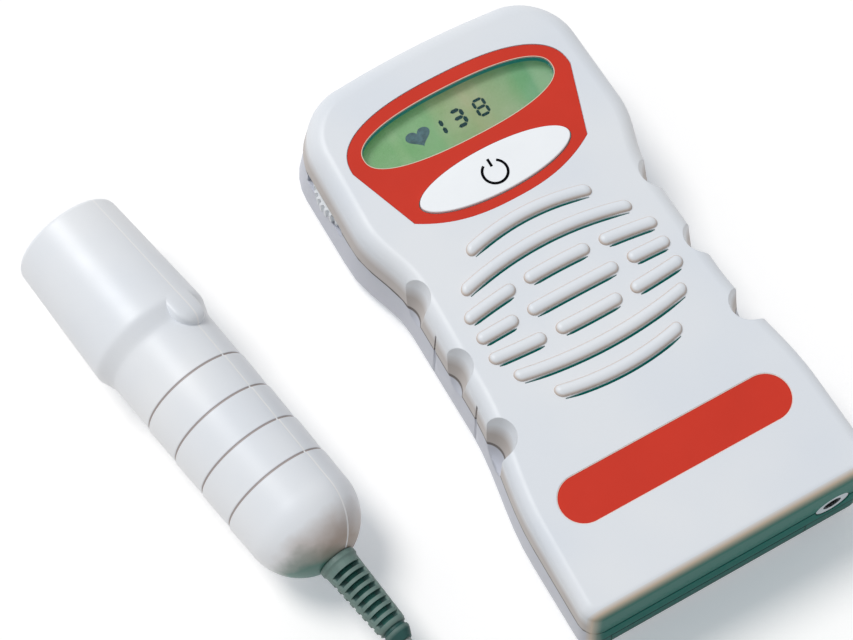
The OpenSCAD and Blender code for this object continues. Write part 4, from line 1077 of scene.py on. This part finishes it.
def makeButton():
    centre = panel["buttonCentre"]
    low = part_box("power_button")[0].z / mm
    stem = oval(button["stemRadius"], button["stemRadius"], 2, centre, 120)
    rim, rimLow, rimTop, edge = button["rim"], button["rimLow"], button["rimTop"], button["edge"]
    rings = [[(x, y, z) for x, y in stem] for z in (low, rimLow)]
    for grow, z in ((rim, rimLow), (rim, rimTop), (0, rimTop)):
        rings.append([(x, y, z) for x, y in buttonOutline(grow)])
    for i in range(6):
        turn = math.radians(18 * i)
        z = button["top"] - edge * (1 - math.sin(turn))
        rings.append([(x, y, z) for x, y in buttonOutline(-edge * (1 - math.cos(turn)))])
    for share in (0.85, 0.6, 0.3):
        crown = button["top"] + button["crown"] * (1 - share * share)
        rings.append([
            (centre[0] + (x - centre[0]) * share, centre[1] + (y - centre[1]) * share, crown)
            for x, y in buttonOutline(-edge)
        ])
    cap = growRings("powerButton", rings)
    dress(cap, "button", "button_plastic", "power_button", smooth=40)
    # the power sign: an open ring and a short bar
    radius, half = button["iconRadius"], button["iconStroke"] / 2
    x0, y0 = button["iconCentre"]
    low, top = button["iconSpan"]
    outer, inner = [], []
    for i in range(61):
        turn = math.radians(90 + button["iconGap"] + (360 - 2 * button["iconGap"]) * i / 60)
        outer.append((x0 + (radius + half) * math.cos(turn), y0 + (radius + half) * math.sin(turn)))
        inner.append((x0 + (radius - half) * math.cos(turn), y0 + (radius - half) * math.sin(turn)))
    arc = cutPlate("iconArc", [outer + inner[::-1]], low, top)
    start, end = [y0 + radius * share for share in button["barSpan"]]
    outline = [(x0 - half, start), (x0 + half, start), (x0 + half, end), (x0 - half, end)]
    bar = cutPlate("iconBar", [outline], low, top)
    sign = joinPieces([arc, bar])
    sign.name = "powerSign"
    dress(sign, "button", "button_plastic", finish=marks["icon"])
    print("power button made")


makeButton()


wheel = {
    "centre": (-26.6915, 50), "radius": 12, "low": 12.7, "high": 16.3, "teeth": 40, "notch": 0.75,
    "bore": 1.55,
}


def wheelRing(radius, z, deep):
    points = []
    count = wheel["teeth"] * 8
    for i in range(count):
        turn = 2 * math.pi * i / count
        phase = (i % 8) / 8
        cut = deep if 0.3 < phase < 0.8 else 0
        points.append((
            wheel["centre"][0] + (radius - cut) * math.cos(turn),
            wheel["centre"][1] + (radius - cut) * math.sin(turn), z,
        ))
    return points


def makeWheel():
    low, high, radius, notch = wheel["low"], wheel["high"], wheel["radius"], wheel["notch"]
    stations = (
        (radius - 1.8, low + 0.5, 0), (radius - 1.5, low, 0), (radius - 0.3, low, notch - 0.3),
        (radius, low + 0.35, notch), (radius, high - 0.35, notch), (radius - 0.3, high, notch - 0.3),
        (radius - 1.5, high, 0), (radius - 1.8, high - 0.5, 0), (3.4, high - 0.5, 0), (3.1, high, 0),
    )
    disc = growRings("volumeWheel", [wheelRing(*station) for station in stations])
    bore = spinProfile(
        "bore", [(0, 8), (wheel["bore"], 8), (wheel["bore"], 20), (0, 20)], 32, 360,
        Matrix.Translation((wheel["centre"][0] * mm, wheel["centre"][1] * mm, 0)),
    )
    carve(disc, bore)
    dress(disc, "wheel", "wheel_plastic", "volume_wheel", smooth=30)
    print("volume wheel made")


makeWheel()


# the probe, drawn along its own axis and then laid in place
probe = {
    "front": (-95.9, 72.5, 16.554), "tilt": 1.6085, "heading": 10, "roll": 40.5,
    "rings": (51.7, 61.9, 72.1, 82.3), "domeStart": 91, "grip": 14, "tongueHalf": 4.8, "tongueTip": 42,
    "neck": [
        (15.54, 32.6), (15.56, 33.4), (15.45, 34.1), (15.2, 34.8), (14.8, 35.9), (14.4, 37.0), (14.12, 37.8),
        (14.01, 38.6), (14, 39.6),
    ],
    "inner": [
        (3.1, 102.2), (7.4, 100.6), (10.6, 96.5), (12.2, 91), (12.2, 39), (13.6, 33), (13.2, 12), (12.4, 3),
    ],
    "ringSteps": [(-0.1, -0.4), (-0.3, -0.12), (-0.3, 0.12), (0.12, 0.4), (0.1, 2.5), (0, 7)],
}


def probeMatrix(roll):
    place = Matrix.Translation([value * mm for value in probe["front"]])
    place = place @ Matrix.Rotation(math.radians(probe["heading"]), 4, "Z")
    place = place @ Matrix.Rotation(math.radians(90 + probe["tilt"]), 4, "X")
    return place @ Matrix.Rotation(math.radians(-roll), 4, "Z")


# the tip tones, the groove tone and the rib teal are painted shade; the seam tone is a painted highlight
probeLook = {
    "white": screen(240, 243, 247),
    "cool": screen(231, 236, 243),
    "seam": screen(246, 247, 249),
    "groove": screen(168, 158, 156),
    "tipBeigeShade": screen(180, 164, 154),
    "tipTealShade": screen(70, 120, 110),
    "joint": (-77.7, -30.9, 13.6),  # where the dome meets the strain relief
    "low": (-83.5, -31.3, 12.5),
    "ribSlotShade": screen(0, 70, 66),
    "ribPale": screen(104, 130, 124),
}


def alongProbe(tree, place):
    # how far along the probe's axis a point lies, how far from the axis, and its side of the seam
    matrix = probeMatrix(probe["roll"])
    axis, aside = matrix.col[2].xyz, matrix.col[0].xyz
    start = addVector(tree, "SUBTRACT", place, matrix.translation, "Vector")
    away = addVector(tree, "CROSS_PRODUCT", start, axis, "Vector")
    return (
        addVector(tree, "DOT_PRODUCT", start, axis), addVector(tree, "LENGTH", away),
        addVector(tree, "DOT_PRODUCT", start, aside),
    )


def nearTo(tree, place, centre):
    return addVector(tree, "DISTANCE", place, [value * mm for value in centre])


def probeFinish():
    finish, tree, shader, place = startFinish("probeShell")
    body = addRamp(
        tree, addNoise(tree, place, 30, 2), [(0.35, probeLook["white"]), (0.7, probeLook["cool"])]
    )
    along, out, aside = alongProbe(tree, place)
    # painted shade: the dome turns beige, then teal, round the strain relief
    wobble = addWobble(tree, addNoise(tree, place, 7), 0.006)
    beigeShade = addMaths(tree, "ADD", nearTo(tree, place, probeLook["joint"]), wobble)
    body = addMix(tree, addSpan(tree, beigeShade, 16, 8), body, probeLook["tipBeigeShade"])
    tealShade = addMaths(tree, "ADD", nearTo(tree, place, probeLook["low"]), wobble)
    body = addMix(tree, addSpan(tree, tealShade, 11.5, 6), body, probeLook["tipTealShade"])
    # painted shade darkens the rings into fine dark lines, and a painted highlight makes the seam a pale one
    first, last = probe["rings"][0], probe["rings"][-1]
    pitch = (last - first) / 3
    phase = addMaths(tree, "WRAP", addMaths(tree, "SUBTRACT", along, first * mm), pitch / 2 * mm)
    phase.node.inputs[2].default_value = -pitch / 2 * mm
    line = addSpan(tree, addMaths(tree, "ABSOLUTE", phase), 0.34, 0.2)
    after = addMaths(tree, "GREATER_THAN", along, (first - 1) * mm)
    before = addMaths(tree, "LESS_THAN", along, (last + 1) * mm)
    body = addMix(tree, addProduct(tree, line, after, before), body, probeLook["groove"])
    body = addMix(tree, addSpan(tree, addMaths(tree, "ABSOLUTE", aside), 0.32, 0.18), body, probeLook["seam"])
    tree.links.new(body, shader.inputs["Base Color"])
    addShine(tree, shader, place, 5, 0.34, 0.44)
    addGrain(tree, shader, place, 0.4, 0.01, 0.12)
    return finish


def ribFinish():
    # the rubber's pale tone outside, and painted shade as dark teal down in the slots
    finish, tree, shader, place = startFinish("ribbedRubber")
    along, out, aside = alongProbe(tree, place)
    beyond = addMaths(tree, "SUBTRACT", along, relief["start"] * mm)
    skin = addMaths(tree, "ADD", out, addProduct(tree, beyond, 0.039))
    tone = addMix(tree, addSpan(tree, skin, 4.2, 3.9), probeLook["ribPale"], probeLook["ribSlotShade"])
    speck = addSpeck(tree, place, 2, (228, 228, 228))
    tree.links.new(addMix(tree, 1.0, tone, speck, "MULTIPLY"), shader.inputs["Base Color"])
    shader.inputs["Roughness"].default_value = 0.5
    addGrain(tree, shader, place, 0.3, 0.015, 0.1)
    return finish


def probeProfile():
    grip, domeStart = probe["grip"], probe["domeStart"]
    outer = [(12.2, 3), (12.2, 0.5), (12.45, 0.1), (13.0, 0), (13.5, 0.12), (13.85, 0.5), (14.03, 1.1)]
    outer += [(14 + 1.6 * s / 34, s) for s in (6, 12, 18, 24, 29)]
    outer += probe["neck"]
    for s in probe["rings"]:
        outer += [(grip + rise, s + along) for rise, along in probe["ringSteps"]]
    outer.append((grip, domeStart - 1))
    for i in range(0, 19):
        turn = math.radians(min(4 * i, 72.4))
        outer.append((grip * math.cos(turn), domeStart + grip * math.sin(turn)))
    return outer + probe["inner"]


def makeProbe():
    place = probeMatrix(probe["roll"])
    probeShell = probeFinish()
    for name, start, node in (
        ("probeHalfRight", -90, "probe_shell_right"), ("probeHalfLeft", 90, "probe_shell_left"),
    ):
        half = spinProfile(name, probeProfile(), 64, 180, Matrix.Rotation(math.radians(start), 4, "Z"))
        softenEdges(half, 0.1, 2, 62)
        half.data.transform(place)
        dress(half, "probe", "case_plastic", node, finish=probeShell, smooth=32)
    tongueRings = []
    tip, halfWide = probe["tongueTip"], probe["tongueHalf"]
    stations = [26, 28, 30, 32, 34, 36]
    stations += [tip - halfWide * (1 - math.sin(math.radians(angle))) for angle in range(0, 91, 10)]
    for s in stations:
        beyond = max(0.0, s - (tip - halfWide))
        wide = max(0.25, math.sqrt(max(0.0, halfWide ** 2 - beyond ** 2)))
        top = 14 + 1.6 * min(s, 37) / 34 + (0.08 if s >= 34 else -0.3 + 0.38 * max(0, s - 26) / 8)
        top -= 1.5 * (beyond / halfWide) ** 4
        ring = [(wide * u, 12.6, s) for u in (1, 0.5, 0, -0.5, -1)]
        for i in range(17):
            u = -1 + 2 * i / 16
            ring.append((wide * u, math.sqrt(top * top - (wide * u) ** 2) - 0.55 * abs(u) ** 10, s))
        tongueRings.append(ring)
    tongue = growRings("probeTongue", tongueRings, place)
    dress(tongue, "probe", "case_plastic", finish=probeShell, smooth=50)
    print("probe made")


makeProbe()


relief = {
    "start": 105, "length": 24, "collar": 4, "ribs": 9, "wide": 4.4, "narrow": 3.7, "slot": 1.2,
    "upperDepth": 2.1, "lowerDepth": -1.05,
    "root": [(1.7, -6), (3, -6), (3, -0.9), (4.6, -0.6), (4.75, -0.2), (4.75, 0.7), (4.5, 1)],
    "tail": [
        (3.45, 19.9), (2.9, 20.2), (2.9, 20.8), (3.25, 21.0), (3.3, 21.5), (3.05, 22.2), (2.15, 23.9),
        (1.7, 24),
    ],
    "core": [(0, -1), (2.6, -1), (2.6, 18), (2.3, 21), (0, 21)],
}


def makeRelief():
    straight = probeMatrix(0)
    start = relief["start"]
    pitch = (relief["length"] - relief["collar"] - 1) / relief["ribs"]
    body = relief["root"] + [(relief["wide"], 1.4), (relief["narrow"], 19.4)] + relief["tail"]
    sleeve = spinProfile("reliefSleeve", [(radius, start + s) for radius, s in body], 72, 360, straight)
    cutters = []
    for i in range(relief["ribs"] - 1):
        s = start + 1.3 + (i + 1) * pitch
        half = relief["slot"] / 2
        cutters.append(addBox("slotCut", (-6, relief["upperDepth"], s - half), (6, 9, s + half), straight))
        s += pitch / 2
        cutters.append(addBox("slotCut", (-6, -9, s - half), (6, -relief["lowerDepth"], s + half), straight))
    carve(sleeve, joinPieces(cutters))
    dress(sleeve, "probe", "relief_rubber", "probe_relief", finish=ribFinish(), smooth=35)
    # the core seen through the slots is painted shade in dark teal
    core = spinProfile(
        "reliefCore", [(radius, start + s) for radius, s in relief["core"]], 48, 360, straight
    )
    dress(core, "probe", "relief_rubber", finish=marks["tealShade"], smooth=35)
    print("strain relief made")


makeRelief()


plug = {
    "start": (-47.5, -141.795, 4.6), "reliefLength": 12, "gripLength": 20, "gripRadius": 4.6,
    "pin": [
        (0, -0.5), (2.4, -0.5), (2.4, 0.35), (1.75, 0.35), (1.75, 4.2), (1.66, 4.25), (1.66, 4.75),
        (1.75, 4.8), (1.75, 8.8), (1.66, 8.85), (1.66, 9.35), (1.75, 9.4), (1.75, 10.3), (1.3, 10.9), (1.3, 11.3),
        (1.62, 11.9), (1.62, 12.7), (1.2, 13.5), (0.6, 13.9), (0, 14),
    ],
}


def makePlug():
    place = Matrix.Translation([value * mm for value in plug["start"]]) @ Matrix.Rotation(math.pi / 2, 4, "Y")
    sleeve = [(0, 0), (1.9, 0), (2.15, 0.25)]
    for i in range(5):
        s = 1.2 + i * 2.1
        wide = 2.2 + 0.16 * i
        sleeve += [(wide, s), (wide, s + 1.2), (wide - 0.35, s + 1.35), (wide - 0.35, s + 1.9)]
    sleeve += [(3, 11.6), (3, 12), (0, 12)]
    boot = spinProfile("plugBoot", sleeve, 48, 360, place)
    dress(boot, "probe", "relief_rubber", "plug_relief", smooth=35)
    radius, s0 = plug["gripRadius"], plug["reliefLength"]
    grip = [(0, s0), (radius - 1.2, s0), (radius - 0.5, s0 + 0.3), (radius, s0 + 1.3)]
    for i in range(6):
        s = s0 + 4 + i * 1.8
        grip += [(radius, s), (radius - 0.3, s + 0.3), (radius - 0.3, s + 0.7), (radius, s + 1.0)]
    end = s0 + plug["gripLength"]
    grip += [(radius, end - 4), (radius - 0.8, end - 3.2), (radius - 0.8, end - 0.3)]
    grip += [(radius - 1.1, end), (0, end)]
    handle = spinProfile("plugGrip", grip, 64, 360, place)
    dress(handle, "probe", "plug_plastic", "plug_body", smooth=35)
    jack = spinProfile("plugPin", [(wide, end + s) for wide, s in plug["pin"]], 48, 360, place)
    dress(jack, "probe", "socket_chrome", "plug_pin", smooth=35)
    print("plug made")
    return boot, handle, jack


plugPieces = makePlug()

# the nodes that still show keep their shape and take their finish by slot
shown = 0
for entry in frame["record"]["subparts"]:
    node = nodes[entry["node"]]
    if not node.hide_render:
        node.data.materials.clear()
        node.data.materials.append(finishes[entry["material_slot"]])
        shown += 1
print("nodes dressed:", shown)

# room: a pale floor, a dim even sky and soft lamps from the head's side
room = {
    "sky": 0.40, "skyColour": (1.0, 1.0, 1.0, 1.0), "floorColour": (0.93, 0.885, 0.84, 1.0),
    "floorGlow": (0.20, 0.24, 0.28, 1.0),
    "sunStrength": 1.62, "sunFrom": (-0.22, 0.46, 0.86), "sunSpread": 24,
    "boxPlace": (-0.35, 0.45, 0.75), "boxPower": 0.5, "boxSize": 0.5,
}


def seenDirectly(tree):
    path = tree.nodes.new("ShaderNodeLightPath")
    seen = addMaths(tree, "MAXIMUM", path.outputs["Is Camera Ray"], path.outputs["Is Glossy Ray"])
    return addMaths(tree, "MAXIMUM", seen, path.outputs["Is Transmission Ray"])


def makeRoom():
    deselectAll()
    bpy.ops.mesh.primitive_plane_add(size=8, location=(0, 0, -0.00005))
    floor = bpy.context.object
    floor.name = "floor"
    ground = bpy.data.materials.new("floorPale")
    ground.use_nodes = True
    tree = ground.node_tree
    tree.nodes.remove(tree.nodes["Principled BSDF"])
    matt = tree.nodes.new("ShaderNodeBsdfDiffuse")
    matt.inputs["Color"].default_value = room["floorColour"]
    glow = tree.nodes.new("ShaderNodeEmission")
    both = tree.nodes.new("ShaderNodeAddShader")
    tree.links.new(seenDirectly(tree), glow.inputs["Strength"])
    glow.inputs["Color"].default_value = room["floorGlow"]
    tree.links.new(matt.outputs["BSDF"], both.inputs[0])
    tree.links.new(glow.outputs["Emission"], both.inputs[1])
    tree.links.new(both.outputs["Shader"], tree.nodes["Material Output"].inputs["Surface"])
    floor.data.materials.append(ground)
    world = bpy.data.worlds.new("studio")
    bpy.context.scene.world = world
    world.use_nodes = True
    tree = world.node_tree
    sky = tree.nodes["Background"]
    sky.inputs["Color"].default_value = room["skyColour"]
    level = addMaths(tree, "ADD", addProduct(tree, seenDirectly(tree), 1 - room["sky"]), room["sky"])
    tree.links.new(level, sky.inputs["Strength"])
    bpy.ops.object.light_add(type="SUN", rotation=Vector(room["sunFrom"]).to_track_quat("Z", "Y").to_euler())
    sun = bpy.context.object
    sun.name = "keySun"
    sun.data.energy = room["sunStrength"]
    sun.data.angle = math.radians(room["sunSpread"])
    bpy.ops.object.light_add(type="AREA", location=room["boxPlace"])
    box = bpy.context.object
    box.name = "softBox"
    box.data.energy = room["boxPower"]
    box.data.size = room["boxSize"]
    box.rotation_euler = (Vector((-0.03, 0, 0)) - box.location).to_track_quat("-Z", "Y").to_euler()
    print("room lit")


makeRoom()
